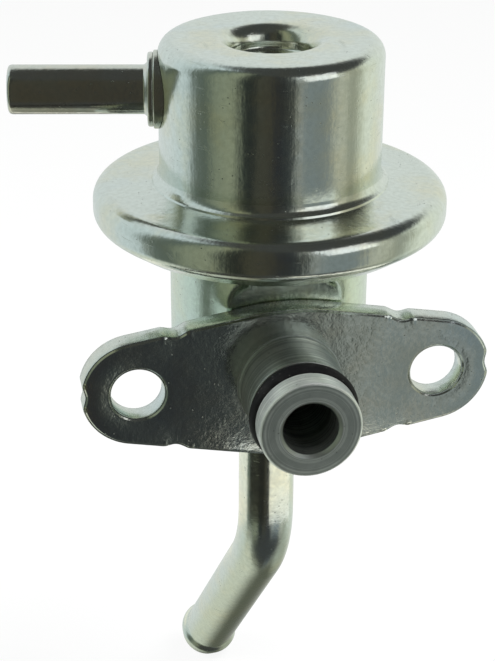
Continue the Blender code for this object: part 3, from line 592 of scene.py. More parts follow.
@dataclass(frozen=True)
class Workshop:
    """Turns, lays and finishes the pieces, and puts each on its body. Sizes in mm, angles in radians."""

    axis_back: float = 14.0
    nipple_z: float = 34.75
    nipple_turn: float = math.radians(9.5)
    sharp_angle: float = math.radians(32.0)

    def lay(self, way: Way) -> Matrix:
        """Matrix that takes a piece turned about Z, in millimetres, to its place in metres.

        Args:
            way: Which axis the piece is turned about.

        Returns:
            The matrix.
        """
        scale = Matrix.Scale(MM, 4)
        if way is Way.UPRIGHT:
            return scale @ Matrix.Translation((0.0, self.axis_back, 0.0))
        if way is Way.SPIGOT:
            return scale @ Matrix.Rotation(math.radians(90.0), 4, "X")
        turn = Matrix.Rotation(-self.nipple_turn, 4, "Z") @ Matrix.Rotation(math.radians(-90.0), 4, "Y")
        return scale @ Matrix.Translation((0.0, self.axis_back, self.nipple_z)) @ turn

    def turned(self, profile: Sequence[Point], steps: int, closed: bool = False) -> bmesh.types.BMesh:
        """Spin a profile about Z.

        Args:
            profile: Distance from the axis and height of each point.
            steps: Steps in the full turn.
            closed: Whether the last point joins the first.

        Returns:
            The turned mesh, in millimetres.
        """
        bm = bmesh.new()
        verts = [bm.verts.new((r, 0.0, z)) for r, z in profile]
        pairs = list(zip(verts, verts[1:]))
        if closed:
            pairs.append((verts[-1], verts[0]))
        edges = [bm.edges.new(pair) for pair in pairs]
        bmesh.ops.spin(bm, geom=verts + edges, cent=(0, 0, 0), axis=(0, 0, 1), angle=FULL_TURN,
                       steps=steps, use_merge=True)
        bmesh.ops.remove_doubles(bm, verts=bm.verts, dist=0.0005)
        bmesh.ops.recalc_face_normals(bm, faces=bm.faces)
        return bm

    def rod(self, radius: float, top: float, bottom: float, steps: int) -> bmesh.types.BMesh:
        """Plain closed cylinder about Z, to cut with.

        Args:
            radius: Its radius.
            top: Height of its upper end.
            bottom: Height of its lower end.
            steps: Steps in the full turn.

        Returns:
            The cylinder, in millimetres.
        """
        return self.turned([(0.0, top), (radius, top), (radius, bottom), (0.0, bottom)], steps)

    def smooth(self, mesh: bpy.types.Mesh) -> None:
        """Shade a mesh smooth, except at its sharp edges."""
        mesh.shade_smooth()
        mesh.set_sharp_from_angle(angle=self.sharp_angle)

    def ripple(self, bm: bmesh.types.BMesh, depth: float, size: float, seed: float) -> None:
        """Give a pressed piece the slight unevenness that bends its reflections.

        Args:
            bm: The mesh, in millimetres.
            depth: Largest move.
            size: Length of the waves.
            seed: Shift of the noise.
        """
        bm.normal_update()
        moves = [v.normal * noise.noise(v.co / size + Vector((seed, seed, seed))) * depth for v in bm.verts]
        for vert, move in zip(bm.verts, moves):
            vert.co += move

    def finish_piece(self, name: str, bm: bmesh.types.BMesh, way: Optional[Way], material: bpy.types.Material,
                     node: Optional[str] = None, body: Body = Body.HOUSING) -> bpy.types.Object:
        """Place a mesh, smooth it, dress it and put it on its body.

        Args:
            name: The piece's name.
            bm: Its mesh, which is freed.
            way: Where to lay it, or None where it is in place already.
            material: Its finish.
            node: CAD node that it stands for.
            body: Body that it rides on.

        Returns:
            The piece.
        """
        if way is not None:
            bmesh.ops.transform(bm, matrix=self.lay(way), verts=bm.verts)
        mesh = mesh_of(name, bm)
        self.smooth(mesh)
        mesh.materials.append(material)
        piece = add_object(name, mesh)
        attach(piece, body.value)
        if node:
            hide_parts(node)
        LOG.info("%s: %d faces on %s", name, len(mesh.polygons), body.value)
        return piece

    def carve(self, piece: bpy.types.Object, bm: bmesh.types.BMesh, way: Optional[Way]) -> None:
        """Cut a closed shape out of a finished piece.

        Args:
            piece: The piece.
            bm: The cutting shape, which is freed.
            way: Where to lay it, or None where it is in place already.
        """
        if way is not None:
            bmesh.ops.transform(bm, matrix=self.lay(way), verts=bm.verts)
        cutter = add_object("cutting_shape", mesh_of("cutting_shape", bm))
        cut = piece.modifiers.new("cut", "BOOLEAN")
        cut.operation = "DIFFERENCE"
        cut.solver = "EXACT"
        cut.object = cutter
        bpy.context.view_layer.update()
        carved = bpy.data.meshes.new_from_object(piece.evaluated_get(bpy.context.evaluated_depsgraph_get()))
        piece.modifiers.remove(cut)
        piece.data = carved
        bpy.data.objects.remove(cutter, do_unlink=True)
        self.smooth(carved)


# Sub-assemblies


@dataclass
class CupAssembly:
    """Upper case with its dimple, brim and crimped rim, and the vacuum nipple in its side. Sizes in mm."""

    shop: Workshop
    cup_r: float = 14.3
    wall: float = 1.2
    top_z: float = 41.5
    corner_r: float = 2.0
    pit_lip_r: float = 7.4
    pit_depth: float = 3.0
    pit_lip_round: float = 2.4
    pit_floor_round: float = 0.5
    foot_r: float = 1.5
    foot_rise: float = 0.58
    brim_z: float = 22.6
    rim_r: float = 22.9
    rim_round: float = 2.1
    lip_slope: float = math.radians(33.7)
    lip_end_r: float = 19.3
    rim_drop: float = 4.75
    lip_round: float = 1.8
    nipple_r: float = 3.12
    nipple_bore_r: float = 1.95
    nipple_end: float = 33.1
    bore_seam: float = 8.0
    flange_r: float = 4.7
    flange_thick: float = 0.85
    washer_r: float = 4.95
    washer_face: float = 14.6
    washer_inside: float = 11.3
    washer_clear: float = 0.05
    gap: float = 0.3
    seat_gap: float = 0.04
    steps: int = 224

    def outer_profile(self) -> list[Point]:
        """Outside of the case, from the middle of the dimple to the end of the crimped lip."""
        pit_z = self.top_z - self.pit_depth
        wall_r = self.pit_lip_r - self.pit_lip_round
        turn = self.pit_floor_round
        points = [(0.0, pit_z)] + arc(wall_r - turn, pit_z + turn, turn, -90, 0, 6)
        points += arc(self.pit_lip_r, self.top_z - self.pit_lip_round, self.pit_lip_round, 180, 90, 16)
        corner = self.corner_r
        points += arc(self.cup_r - corner, self.top_z - corner, corner, 90, 0, 16)
        foot_z = self.brim_z + self.foot_rise
        points += arc(self.cup_r + self.foot_r, foot_z + self.foot_r * 0.94, self.foot_r, 180, 246, 10)
        brim_in = points[-1][0] + 0.12
        points.append((brim_in, foot_z - 0.2))
        width = self.rim_r - self.rim_round - brim_in
        for share in (0.08, 0.2, 0.4, 0.6, 0.8):
            points.append((brim_in + share * width, self.brim_z + 0.36 * (1.0 - share) ** 1.6 - 0.06 * share))
        points += arc(self.rim_r - self.rim_round, self.brim_z - self.rim_round, self.rim_round, 82, 0, 16)
        slope = math.degrees(self.lip_slope)
        round_z = self.brim_z - self.rim_drop + self.lip_round * math.cos(self.lip_slope)
        points += arc(self.rim_r - self.lip_round, round_z, self.lip_round, 0, slope - 90, 10)
        return points

    def lip_z(self, r: float, offset: float) -> float:
        """Height of the crimped lip's face.

        Args:
            r: Distance from the axis.
            offset: Shift square to the outer face, inwards.

        Returns:
            The height.
        """
        start_r = self.rim_r - self.lip_round * (1.0 - math.sin(self.lip_slope))
        start_z = self.brim_z - self.rim_drop
        return start_z - (start_r - r) * math.tan(self.lip_slope) + offset / math.cos(self.lip_slope)

    def case_profile(self) -> list[Point]:
        """Whole section of the case, outside and inside."""
        points = self.outer_profile()
        nose = 0.35
        nose_r = self.lip_end_r + nose
        nose_z = self.lip_z(nose_r, 0.0)
        points.append((nose_r, nose_z))
        lean = (-math.sin(self.lip_slope), math.cos(self.lip_slope))
        middle_z = self.lip_z(self.lip_end_r, self.wall / 2.0)
        points.append((self.lip_end_r - 0.1, middle_z - 0.25))
        points.append((nose_r + self.wall * lean[0], nose_z + self.wall * lean[1]))
        inner_r = self.rim_r - self.wall
        under_z = self.brim_z - self.wall
        points += rounded([points.pop() + (0,), (inner_r, self.lip_z(inner_r, self.wall), 0.3),
                           (inner_r, under_z, 0.4), (self.cup_r, under_z, 0)], 4)[:-1]
        cup_in = self.cup_r - self.wall
        inner_foot = 2.1
        points += arc(cup_in + inner_foot, under_z + inner_foot, inner_foot, 270, 180, 8)
        inner_top = self.top_z - self.wall
        points += arc(cup_in - 0.8, inner_top - 0.8, 0.8, 0, 90, 6)
        dimple_r = self.pit_lip_r - self.pit_lip_round + self.wall
        dimple_z = self.top_z - self.pit_depth - self.wall
        inside_round = self.pit_lip_round - self.wall
        points += arc(dimple_r + inside_round, inner_top - inside_round, inside_round, 90, 180, 6)
        points += rounded([(dimple_r, dimple_z + 1.0, 0), (dimple_r, dimple_z, 0.8), (0.0, dimple_z, 0)], 4)
        return points

    def build_case(self, material: bpy.types.Material) -> None:
        """Make the upper case.

        Args:
            material: Its finish.
        """
        profile = divided(self.case_profile(), 0.8)
        bm = self.shop.turned(profile, self.steps)
        self.shop.ripple(bm, depth=0.035, size=9.0, seed=3.0)
        case = self.shop.finish_piece("cup_shell", bm, Way.UPRIGHT, material, "upper_case")
        hole = self.shop.rod(self.nipple_r + self.gap, top=17.0, bottom=10.8, steps=48)
        self.shop.carve(case, hole, Way.NIPPLE)

    def build_nipple(self, material: bpy.types.Material, washer_material: bpy.types.Material) -> None:
        """Make the vacuum nipple and the saddle washer behind its flange.

        Args:
            material: Finish of the nipple.
            washer_material: Finish of the washer.
        """
        back = self.washer_face + self.gap
        front = back + self.flange_thick - 0.1
        inner = self.cup_r - self.wall
        end = self.nipple_end
        corners = [(self.nipple_bore_r, end - self.bore_seam, 0), (self.nipple_bore_r, end, 0.25),
                   (self.nipple_r, end, 0.75), (self.nipple_r, front + 0.35, 0.3),
                   (self.nipple_r + 0.3, front, 0.2), (self.flange_r, front - 0.08, 0.62),
                   (self.flange_r, back, 0.12), (self.nipple_r, back, 0.05), (self.nipple_r, inner, 0.2),
                   (self.nipple_bore_r, inner, 0.2), (self.nipple_bore_r, end - self.bore_seam - 0.5, 0)]
        bm = self.shop.turned(divided(rounded(corners, 7), 0.9), 96, True)
        self.shop.finish_piece("vacuum_tube", bm, Way.NIPPLE, material, "vacuum_nipple")
        face = back - self.seat_gap
        hole_r = self.nipple_r + self.gap
        ring = rounded([(hole_r, face, 0), (self.washer_r, face, 0.22),
                        (self.washer_r, self.washer_inside, 0), (hole_r, self.washer_inside, 0)], 5)
        bm = self.shop.turned(divided(ring, 0.9), 96, True)
        washer = self.shop.finish_piece("saddle_ring", bm, Way.NIPPLE, washer_material, "nipple_washer")
        wall = self.shop.rod(self.cup_r + self.washer_clear, top=41.0, bottom=28.0, steps=192)
        self.shop.carve(washer, wall, Way.UPRIGHT)


@dataclass
class FuelChamber:
    """Lower case: a drawn chamber with a clamped flange and a flat pressed in its front. Sizes in mm."""

    shop: Workshop
    cup: CupAssembly
    body_r: float = 13.0
    wall: float = 1.6
    flange_top_z: float = 20.0
    bottom_z: float = -9.0
    bottom_round: float = 1.8
    chamber_r: float = 17.6
    shoulder_z: float = 14.56
    pad_back: float = 10.7
    pad_top_z: float = 13.25
    pad_corner: float = 4.2
    pad_lead: float = 0.35
    pad_fade: float = 1.1
    press_soft: float = 0.22
    press_reach: float = 0.3
    stem_hole_r: float = 5.3
    pipe_hole_r: float = 4.15
    steps: int = 224

    def profile(self) -> list[Point]:
        """Section of the case, outside and inside."""
        clear = self.cup.wall + self.cup.gap
        flange_r = self.cup.rim_r - self.cup.wall - self.cup.gap
        low_r = self.cup.lip_end_r - 0.8
        low_z = self.cup.lip_z(low_r, clear)
        edge_r = flange_r - 0.4
        corners = [(self.chamber_r, self.flange_top_z, 0), (flange_r, self.flange_top_z, 0.25),
                   (flange_r, self.flange_top_z - 1.0, 0.2), (edge_r, self.cup.lip_z(edge_r, clear), 0.2),
                   (low_r, low_z, 1.2), (low_r - 1.6, self.shoulder_z + 0.55, 1.2),
                   (16.0, self.shoulder_z + 0.2, 0.6), (self.body_r, self.shoulder_z - 0.05, 1.5),
                   (self.body_r, self.bottom_z, self.bottom_round), (self.pipe_hole_r, self.bottom_z, 0.25),
                   (self.pipe_hole_r, self.bottom_z + self.wall, 0.1)]
        inner_r = self.body_r - self.wall
        floor_z = self.shoulder_z + self.wall
        corners += [(inner_r, self.bottom_z + self.wall, 1.2), (inner_r, floor_z, 1.0),
                    (self.chamber_r - 1.6, floor_z, 0.8), (self.chamber_r - 0.6, floor_z + 1.4, 0.6),
                    (self.chamber_r, self.flange_top_z - 0.3, 0)]
        return divided(rounded(corners, 6), 0.45)

    def press(self, bm: bmesh.types.BMesh) -> None:
        """Press the flat into the front of the turned case.

        Args:
            bm: The turned case, in millimetres, its axis at the origin.
        """
        half = math.sqrt(self.body_r ** 2 - self.pad_back ** 2)
        for vert in bm.verts:
            radius = math.hypot(vert.co.x, vert.co.y)
            if vert.co.y > -self.press_reach * self.body_r or radius < self.body_r - self.wall - 0.2:
                continue
            limit = -self.pad_back if radius > self.body_r - self.wall / 2.0 else -(self.pad_back - self.wall)
            over = limit - vert.co.y
            sunk = self.press_soft * math.log1p(math.exp(min(over / self.press_soft, 40.0)))
            corner_x = max(0.0, abs(vert.co.x) - (half - self.pad_corner))
            corner_z = max(0.0, vert.co.z - (self.pad_top_z - self.pad_corner))
            outside = math.hypot(corner_x, corner_z) - self.pad_corner + self.pad_lead
            share = 1.0 - min(1.0, max(0.0, outside / self.pad_fade))
            if corner_z == 0.0:
                share = 1.0
            vert.co.y += sunk * share * share * (3.0 - 2.0 * share)

    def build(self, material: bpy.types.Material) -> None:
        """Make the lower case.

        Args:
            material: Its finish.
        """
        bm = self.shop.turned(self.profile(), self.steps, True)
        self.shop.ripple(bm, depth=0.03, size=8.0, seed=11.0)
        self.press(bm)
        case = self.shop.finish_piece("chamber_shell", bm, Way.UPRIGHT, material, "lower_case")
        hole = self.shop.rod(self.stem_hole_r, top=4.0, bottom=-7.0, steps=64)
        self.shop.carve(case, hole, Way.SPIGOT)


@dataclass
class PortAssembly:
    """Mounting plate, inlet spigot and O-ring. Sizes in mm."""

    shop: Workshop
    thick: float = 3.0
    spacing: float = 39.0
    bolt_hole_r: float = 3.4
    end_r: float = 7.2
    half_height: float = 10.3
    hump_r: float = 30.0
    nick_x: float = 14.6
    nick_depth: float = 0.5
    nick_half: float = 1.75
    bow: float = 0.016
    bow_start: float = 3.0
    edge_roll: float = 0.36
    roll_rings: tuple[float, ...] = (0.08, 0.12, 0.18, 0.26, 0.36)
    flat_round: float = 2.0
    spigot_r: float = 6.6
    root_round: float = 0.24
    nose_r: float = 6.45
    bore_r: float = 3.5
    stem_r: float = 5.0
    stem_end: float = 5.4
    length: float = 12.8
    nose_width: float = 2.85
    groove_r: float = 4.45
    groove_width: float = 2.8
    ring_section: float = 1.1
    mould_line: float = 0.018
    gap: float = 0.3

    def lean(self) -> float:
        """Slope of the straight flanks, tangent to the hump and to the round ends."""
        drop = self.hump_r - self.half_height
        reach = math.hypot(self.spacing / 2.0, drop)
        return math.atan2(self.spacing / 2.0, drop) - math.acos((self.hump_r - self.end_r) / reach)

    def outline(self) -> list[Point]:
        """Outline of the plate in X and Z, with its six nicks."""
        lean = math.degrees(self.lean())
        top = arc(0.0, self.half_height - self.hump_r, self.hump_r, 90 - lean, 90 + lean, 40)
        left = arc(-self.spacing / 2.0, 0.0, self.end_r, 90 + lean, 270 - lean, 72)
        half = divided(top + left, 0.3)
        loop = half + [(-x, -z) for x, z in half]
        loop = divided(loop + [loop[0]], 0.3)
        tidy = [p for p, q in zip(loop, loop[1:]) if math.dist(p, q) > 0.01]
        return [self.nicked(Vector(p)) for p in tidy]

    def nicked(self, spot: Vector) -> Point:
        """Push a point of the outline in where a nick is.

        Args:
            spot: The point.

        Returns:
            The moved point.
        """
        lean = self.lean()
        flank = self.half_height - self.hump_r * (1.0 - math.cos(lean))
        flank -= (self.nick_x - self.hump_r * math.sin(lean)) * math.tan(lean)
        end_x = self.spacing / 2.0 + self.end_r
        nicks = [(sx * self.nick_x, sz * flank) for sx in (-1, 1) for sz in (-1, 1)]
        nicks += [(-end_x, 0.0), (end_x, 0.6)]
        for nick in nicks:
            away = (spot - Vector(nick)).length / self.nick_half
            if away < 1.0:
                centre = Vector((math.copysign(min(abs(spot.x), self.spacing / 2.0), spot.x), 0.0))
                inwards = (centre - spot).normalized()
                spot = spot + inwards * self.nick_depth * (0.5 + 0.5 * math.cos(math.pi * away)) ** 0.8
        return (spot.x, spot.y)

    def roll_edges(self, bm: bmesh.types.BMesh, front: Sequence[bmesh.types.BMFace]) -> None:
        """Sink the front face towards its edges, as a punch leaves it.

        Args:
            bm: The flat front face, in millimetres.
            front: Its faces.
        """
        total = sum(self.roll_rings)
        reach = {vert: 0.0 for vert in bm.verts}
        inset = 0.0
        for width in self.roll_rings:
            bmesh.ops.inset_region(bm, faces=list(front), thickness=width, depth=0.0, use_boundary=True,
                                   use_even_offset=True)
            inset += width
            for vert in bm.verts:
                if vert not in reach:
                    reach[vert] = inset
            for face in front:
                for vert in face.verts:
                    reach[vert] = inset
        for vert, distance in reach.items():
            past_spigot = math.hypot(vert.co.x, vert.co.z) - self.spigot_r - self.flat_round
            clear_of_spigot = min(1.0, max(0.0, past_spigot))
            vert.co.y += self.edge_roll * clear_of_spigot * (1.0 - distance / total) ** 2

    def ring_of(self, bm: bmesh.types.BMesh, points: Sequence[Point]) -> list[bmesh.types.BMEdge]:
        """Add a closed loop of edges in the plate's front plane.

        Args:
            bm: The mesh.
            points: X and Z of the loop's points.

        Returns:
            The loop's edges.
        """
        verts = [bm.verts.new((x, 0.0, z)) for x, z in points]
        return [bm.edges.new((a, b)) for a, b in zip(verts, verts[1:] + verts[:1])]

    def build_plate(self, material: bpy.types.Material) -> None:
        """Make the stamped plate.

        Args:
            material: Its finish.
        """
        bm = bmesh.new()
        edges = self.ring_of(bm, self.outline())
        for x, radius in ((-self.spacing / 2.0, self.bolt_hole_r), (0.0, self.spigot_r + 0.14),
                          (self.spacing / 2.0, self.bolt_hole_r)):
            circle = [(x + px, pz) for px, pz in arc(0.0, 0.0, radius, 0, 360, 72)[:-1]]
            edges += self.ring_of(bm, circle)
        bmesh.ops.triangle_fill(bm, use_beauty=True, use_dissolve=False, edges=edges, normal=(0, -1, 0))
        self.roll_edges(bm, list(bm.faces))
        rim = [e for e in bm.edges if len(e.link_faces) == 1]
        out = bmesh.ops.extrude_edge_only(bm, edges=rim)
        for piece in out["geom"]:
            if isinstance(piece, bmesh.types.BMVert):
                piece.co.y = self.thick
        back_rim = [e for e in bm.edges if all(v.co.y > self.thick / 2.0 for v in e.verts)]
        bmesh.ops.triangle_fill(bm, use_beauty=True, use_dissolve=False, edges=back_rim, normal=(0, 1, 0))
        bmesh.ops.recalc_face_normals(bm, faces=bm.faces)
        back_rim = [e for e in bm.edges if all(v.co.y > self.thick - 0.001 for v in e.verts)
                    and any(abs(f.normal.y) < 0.5 for f in e.link_faces)]
        bmesh.ops.bevel(bm, geom=back_rim, offset=0.12, offset_type="OFFSET", segments=2, profile=0.5,
                        affect="EDGES", material=-1, clamp_overlap=True)
        self.bend_back(bm)
        bmesh.ops.transform(bm, matrix=Matrix.Scale(MM, 4), verts=bm.verts)
        self.shop.finish_piece("flange_plate", bm, None, material, "mounting_plate")

    def bend_back(self, bm: bmesh.types.BMesh) -> None:
        """Bow the plate's ends back a little, as the brazing leaves them.

        Args:
            bm: The plate, in millimetres.
        """
        for vert in bm.verts:
            past_root = abs(vert.co.x) - self.spigot_r
            if past_root > 0.0:
                vert.co.y += self.bow * past_root * min(1.0, past_root / self.bow_start)

    def build_spigot(self, material: bpy.types.Material) -> None:
        """Make the turned spigot with its groove and its brazed root.

        Args:
            material: Its finish.
        """
        groove_front = self.length - self.nose_width
        groove_back = groove_front - self.groove_width
        corners = [(self.bore_r, 0.0, 0), (self.bore_r, self.length - 0.42, 0.12),
                   (self.bore_r + 0.4, self.length, 0.08), (self.nose_r - 0.3, self.length, 0.08),
                   (self.nose_r, self.length - 0.3, 0.12),
                   (self.nose_r, groove_front, 0.12), (self.groove_r, groove_front, 0.2),
                   (self.groove_r, groove_back, 0.2), (self.spigot_r, groove_back, 0.25),
                   (self.spigot_r, self.root_round, 0), (self.spigot_r + 0.06, 0.06, 0.05),
                   (self.spigot_r + self.root_round, 0.01, 0), (self.spigot_r + self.root_round, -0.1, 0),
                   (self.spigot_r, -0.2, 0), (self.spigot_r, -self.thick, 0.1),
                   (self.stem_r, -self.thick, 0.1), (self.stem_r, -self.stem_end, 0.2),
                   (self.bore_r, -self.stem_end, 0.2), (self.bore_r, -0.2, 0)]
        bm = self.shop.turned(divided(rounded(corners, 6), 0.7), 144, True)
        self.shop.finish_piece("inlet_neck", bm, Way.SPIGOT, material, "inlet_spigot")

    def build_ring(self, material: bpy.types.Material) -> None:
        """Make the O-ring, with the faint line that its mould leaves.

        Args:
            material: Its finish.
        """
        centre_r = self.groove_r + self.gap + self.ring_section
        along = self.length - self.nose_width - self.groove_width / 2.0
        points = []
        for r, z in arc(0.0, 0.0, 1.0, 90, -270, 40)[:-1]:
            around = math.degrees(math.asin(max(-1.0, min(1.0, z))))
            flash = 1.0 + self.mould_line * math.exp(-(around / 5.0) ** 2)
            points.append((centre_r + r * self.ring_section * flash, along + z * self.ring_section))
        bm = self.shop.turned(points, 144, True)
        self.shop.finish_piece("seal_ring", bm, Way.SPIGOT, material, "o_ring")


@dataclass
class ReturnLine:
    """Bent return pipe with a hose bead. Sizes in mm."""

    shop: Workshop
    pipe_r: float = 3.85
    bore_r: float = 2.8
    top_z: float = 12.4
    bend_z: float = -26.5
    bend_r: float = 17.0
    bend: float = math.radians(37.7)
    heading: float = math.radians(79.0)
    leg: float = 34.2
    bead_r: float = 4.35
    bead_back: float = 2.3
    bead_half: float = 1.9
    bore_depth: float = 3.0
    bead_steps: int = 12
    bend_steps: int = 28
    sides: int = 64

    def profile(self) -> list[Point]:
        """Radius of the outer wall against the distance along the last leg, to the edge of the bore."""
        crest = self.leg - self.bead_back
        points = [(self.pipe_r, 0.0)]
        for i in range(2 * self.bead_steps + 1):
            across = -1.0 + i / self.bead_steps
            swell = (self.bead_r - self.pipe_r) * (0.5 + 0.5 * math.cos(math.pi * across)) ** 1.15
            points.append((self.pipe_r + swell, crest + across * self.bead_half))
        nose = rounded([points[-1] + (0,), (self.pipe_r - 0.05, self.leg, 0.5), (self.bore_r, self.leg, 0.3),
                        (self.bore_r, self.leg - self.bore_depth, 0)], 7)
        outer = points + nose[1:]
        return [(r, along) for r, along in outer if along >= self.leg or r > self.bore_r + 0.001]

    def leg_stations(self) -> list[Matrix]:
        """Places and widths of the outer wall along the last leg."""
        end = self.frame_at(self.bend)
        stations = []
        for radius, along in self.profile():
            scale = radius / self.pipe_r
            widen = Matrix.Diagonal((scale, scale, 1.0, 1.0))
            stations.append(end @ Matrix.Translation((0.0, 0.0, max(along, 0.4))) @ widen)
        return stations

    def draw_wall(self, bm: bmesh.types.BMesh, radius: float, stations: Sequence[Matrix]) -> None:
        """Extrude a ring from the pipe's top through every station.

        Args:
            bm: The mesh.
            radius: Radius of the ring.
            stations: Places to extrude to.
        """
        ring = bmesh.ops.create_circle(bm, cap_ends=False, radius=radius, segments=self.sides)["verts"]
        local = [v.co.copy() for v in ring]
        edges = {e for v in ring for e in v.link_edges}
        top = self.down_to(self.top_z)
        for vert, co in zip(ring, local):
            vert.co = top @ co
        self.sweep(bm, list(edges), ring, local, stations)

    def frame_at(self, t: float) -> Matrix:
        """Place and direction along the bend.

        Args:
            t: Angle already bent.

        Returns:
            A matrix whose Z axis runs along the pipe.
        """
        out = Vector((-math.cos(self.heading), math.sin(self.heading), 0.0))
        start = Vector((0.0, self.shop.axis_back, self.bend_z))
        centre = start + out * self.bend_r
        down = Vector((0.0, 0.0, -1.0))
        spot = centre - out * self.bend_r * math.cos(t) + down * self.bend_r * math.sin(t)
        along = out * math.sin(t) + down * math.cos(t)
        side = out * math.cos(t) - down * math.sin(t)
        across = along.cross(side)
        turn = Matrix((side, across, along)).transposed().to_4x4()
        return Matrix.Translation(spot) @ turn

    def build(self, material: bpy.types.Material) -> None:
        """Make the pipe: a ring is extruded down and round the bend, then along the leg with its bead.

        Args:
            material: Its finish.
        """
        bm = bmesh.new()
        stations = [self.down_to(z) for z in (6.0, 0.0, -6.0, -12.0, -18.0, -22.0)]
        stations += [self.frame_at(self.bend * i / self.bend_steps) for i in range(self.bend_steps + 1)]
        inner_end = self.frame_at(self.bend) @ Matrix.Translation((0.0, 0.0, self.leg - self.bore_depth))
        self.draw_wall(bm, self.pipe_r, stations + self.leg_stations())
        self.draw_wall(bm, self.bore_r, stations + [inner_end])
        open_edges = [e for e in bm.edges if len(e.link_faces) == 1]
        low = [e for e in open_edges if e.verts[0].co.z < self.bend_z]
        high = [e for e in open_edges if e.verts[0].co.z > self.bend_z]
        bmesh.ops.bridge_loops(bm, edges=low)
        bmesh.ops.bridge_loops(bm, edges=high)
        bmesh.ops.remove_doubles(bm, verts=bm.verts, dist=0.001)
        bmesh.ops.recalc_face_normals(bm, faces=bm.faces)
        bmesh.ops.transform(bm, matrix=Matrix.Scale(MM, 4), verts=bm.verts)
        self.shop.finish_piece("outlet_tube", bm, None, material, "return_pipe")

    def down_to(self, z: float) -> Matrix:
        """Place on the straight stretch above the bend.

        Args:
            z: Its height.

        Returns:
            A matrix whose Z axis runs along the pipe.
        """
        return Matrix.Translation((0.0, 0.0, z - self.bend_z)) @ self.frame_at(0.0)

    def sweep(self, bm: bmesh.types.BMesh, edges: list, verts: Sequence, local: Sequence[Vector],
              stations: Sequence[Matrix]) -> None:
        """Extrude a ring from station to station.

        Args:
            bm: The mesh.
            edges: The ring's edges.
            verts: The ring's vertices, in the order of local.
            local: Each vertex in the ring's own plane.
            stations: Places to extrude to.
        """
        for station in stations:
            out = bmesh.ops.extrude_edge_only(bm, edges=edges)["geom"]
            fresh = [g for g in out if isinstance(g, bmesh.types.BMVert)]
            edges = [g for g in out if isinstance(g, bmesh.types.BMEdge)
                     and all(v in fresh for v in g.verts)]
            ordered = []
            for old in verts:
                partner = next(e.other_vert(old) for e in old.link_edges if e.other_vert(old) in fresh)
                ordered.append(partner)
            for vert, co in zip(ordered, local):
                vert.co = station @ co
            verts = ordered


# Finishes of the inner pieces, by the nodes that take them
INNER_FINISHES: "dict[tuple[str, ...], PlainMetalFinish | RubberFinish]" = {
    ("main_spring",): PlainMetalFinish("oil_tempered_wire", (0.30, 0.29, 0.28), (0.16, 0.13, 0.10), 0.42),
    ("upper_spring_seat", "spring_cup", "ball_retainer"):
        PlainMetalFinish("pressed_seat_steel", (0.62, 0.63, 0.62), (0.45, 0.44, 0.41), 0.34),
    ("valve_holder",): PlainMetalFinish("turned_holder_steel", (0.58, 0.60, 0.59), (0.44, 0.44, 0.42), 0.28),
    ("valve_ball",): PlainMetalFinish("lapped_ball_steel", (0.74, 0.74, 0.75), (0.66, 0.66, 0.66), 0.12),
    ("valve_seat",): PlainMetalFinish("turned_seat_brass", (0.72, 0.55, 0.28), (0.52, 0.38, 0.19), 0.32),
    ("diaphragm",): RubberFinish("diaphragm_sheet_rubber", (0.03, 0.03, 0.03), (0.07, 0.07, 0.065), 0.6),
}


class ValveTrain:
    """Pieces inside the cases, which keep their CAD shape and take their own finishes."""

    def dress(self) -> None:
        """Give every inner node its finish."""
        for nodes, finish in INNER_FINISHES.items():
            material = finish.make()
            for node in nodes:
                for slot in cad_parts[node].material_slots:
                    slot.material = material
                LOG.info("%s: dressed", node)


# Studio


# What stands round the part, by degrees from -Y towards +X
STUDIO_SIDES: list[tuple[float, Colour]] = [
    (-180.0, (0.62, 0.68, 0.67)),
    (-110.0, (0.63, 0.72, 0.73)),
    (-103.0, (0.54, 0.62, 0.62)),
    (-94.0, (0.14, 0.17, 0.145)),
    (-80.0, (0.095, 0.12, 0.10)),
    (-70.0, (0.22, 0.25, 0.18)),
    (-52.0, (0.28, 0.305, 0.21)),
    (-46.0, (0.18, 0.20, 0.145)),
    (-40.0, (0.028, 0.034, 0.030)),
    (-31.0, (0.018, 0.022, 0.022)),
    (-25.0, (0.062, 0.062, 0.047)),
    (-12.0, (0.054, 0.052, 0.040)),
    (-4.0, (0.026, 0.028, 0.032)),
    (9.0, (0.036, 0.042, 0.042)),
    (13.0, (0.060, 0.068, 0.064)),
    (14.6, (0.24, 0.26, 0.235)),
    (18.5, (0.37, 0.385, 0.36)),
    (23.0, (0.21, 0.245, 0.245)),
    (47.0, (0.21, 0.245, 0.25)),
    (53.0, (0.33, 0.35, 0.30)),
    (59.0, (0.49, 0.50, 0.41)),
    (68.0, (0.50, 0.51, 0.41)),
    (77.0, (0.31, 0.325, 0.25)),
    (84.0, (0.40, 0.41, 0.32)),
    (91.0, (0.64, 0.67, 0.54)),
    (103.0, (0.82, 0.86, 0.74)),
    (180.0, (0.62, 0.68, 0.67)),
]
STUDIO_CEILING: Colour = (0.055, 0.058, 0.055)
STUDIO_FLOOR_LEFT: Colour = (0.66, 0.70, 0.60)
STUDIO_FLOOR_MIDDLE: Colour = (0.12, 0.13, 0.10)
STUDIO_FLOOR_RIGHT: Colour = (0.40, 0.43, 0.35)


@dataclass(frozen=True)
class Lamp:
    """A soft square lamp that faces the part: degrees, metres, and a radiance where 1 is white."""

    name: str
    azimuth: float
    elevation: float
    size: float
    radiance: float
    mirrored: bool


@dataclass(frozen=True)
class LowCard:
    """A low curved card round the pipe, from and to degrees from -Y towards +X."""

    name: str
    first: float
    last: float
    colour: Colour


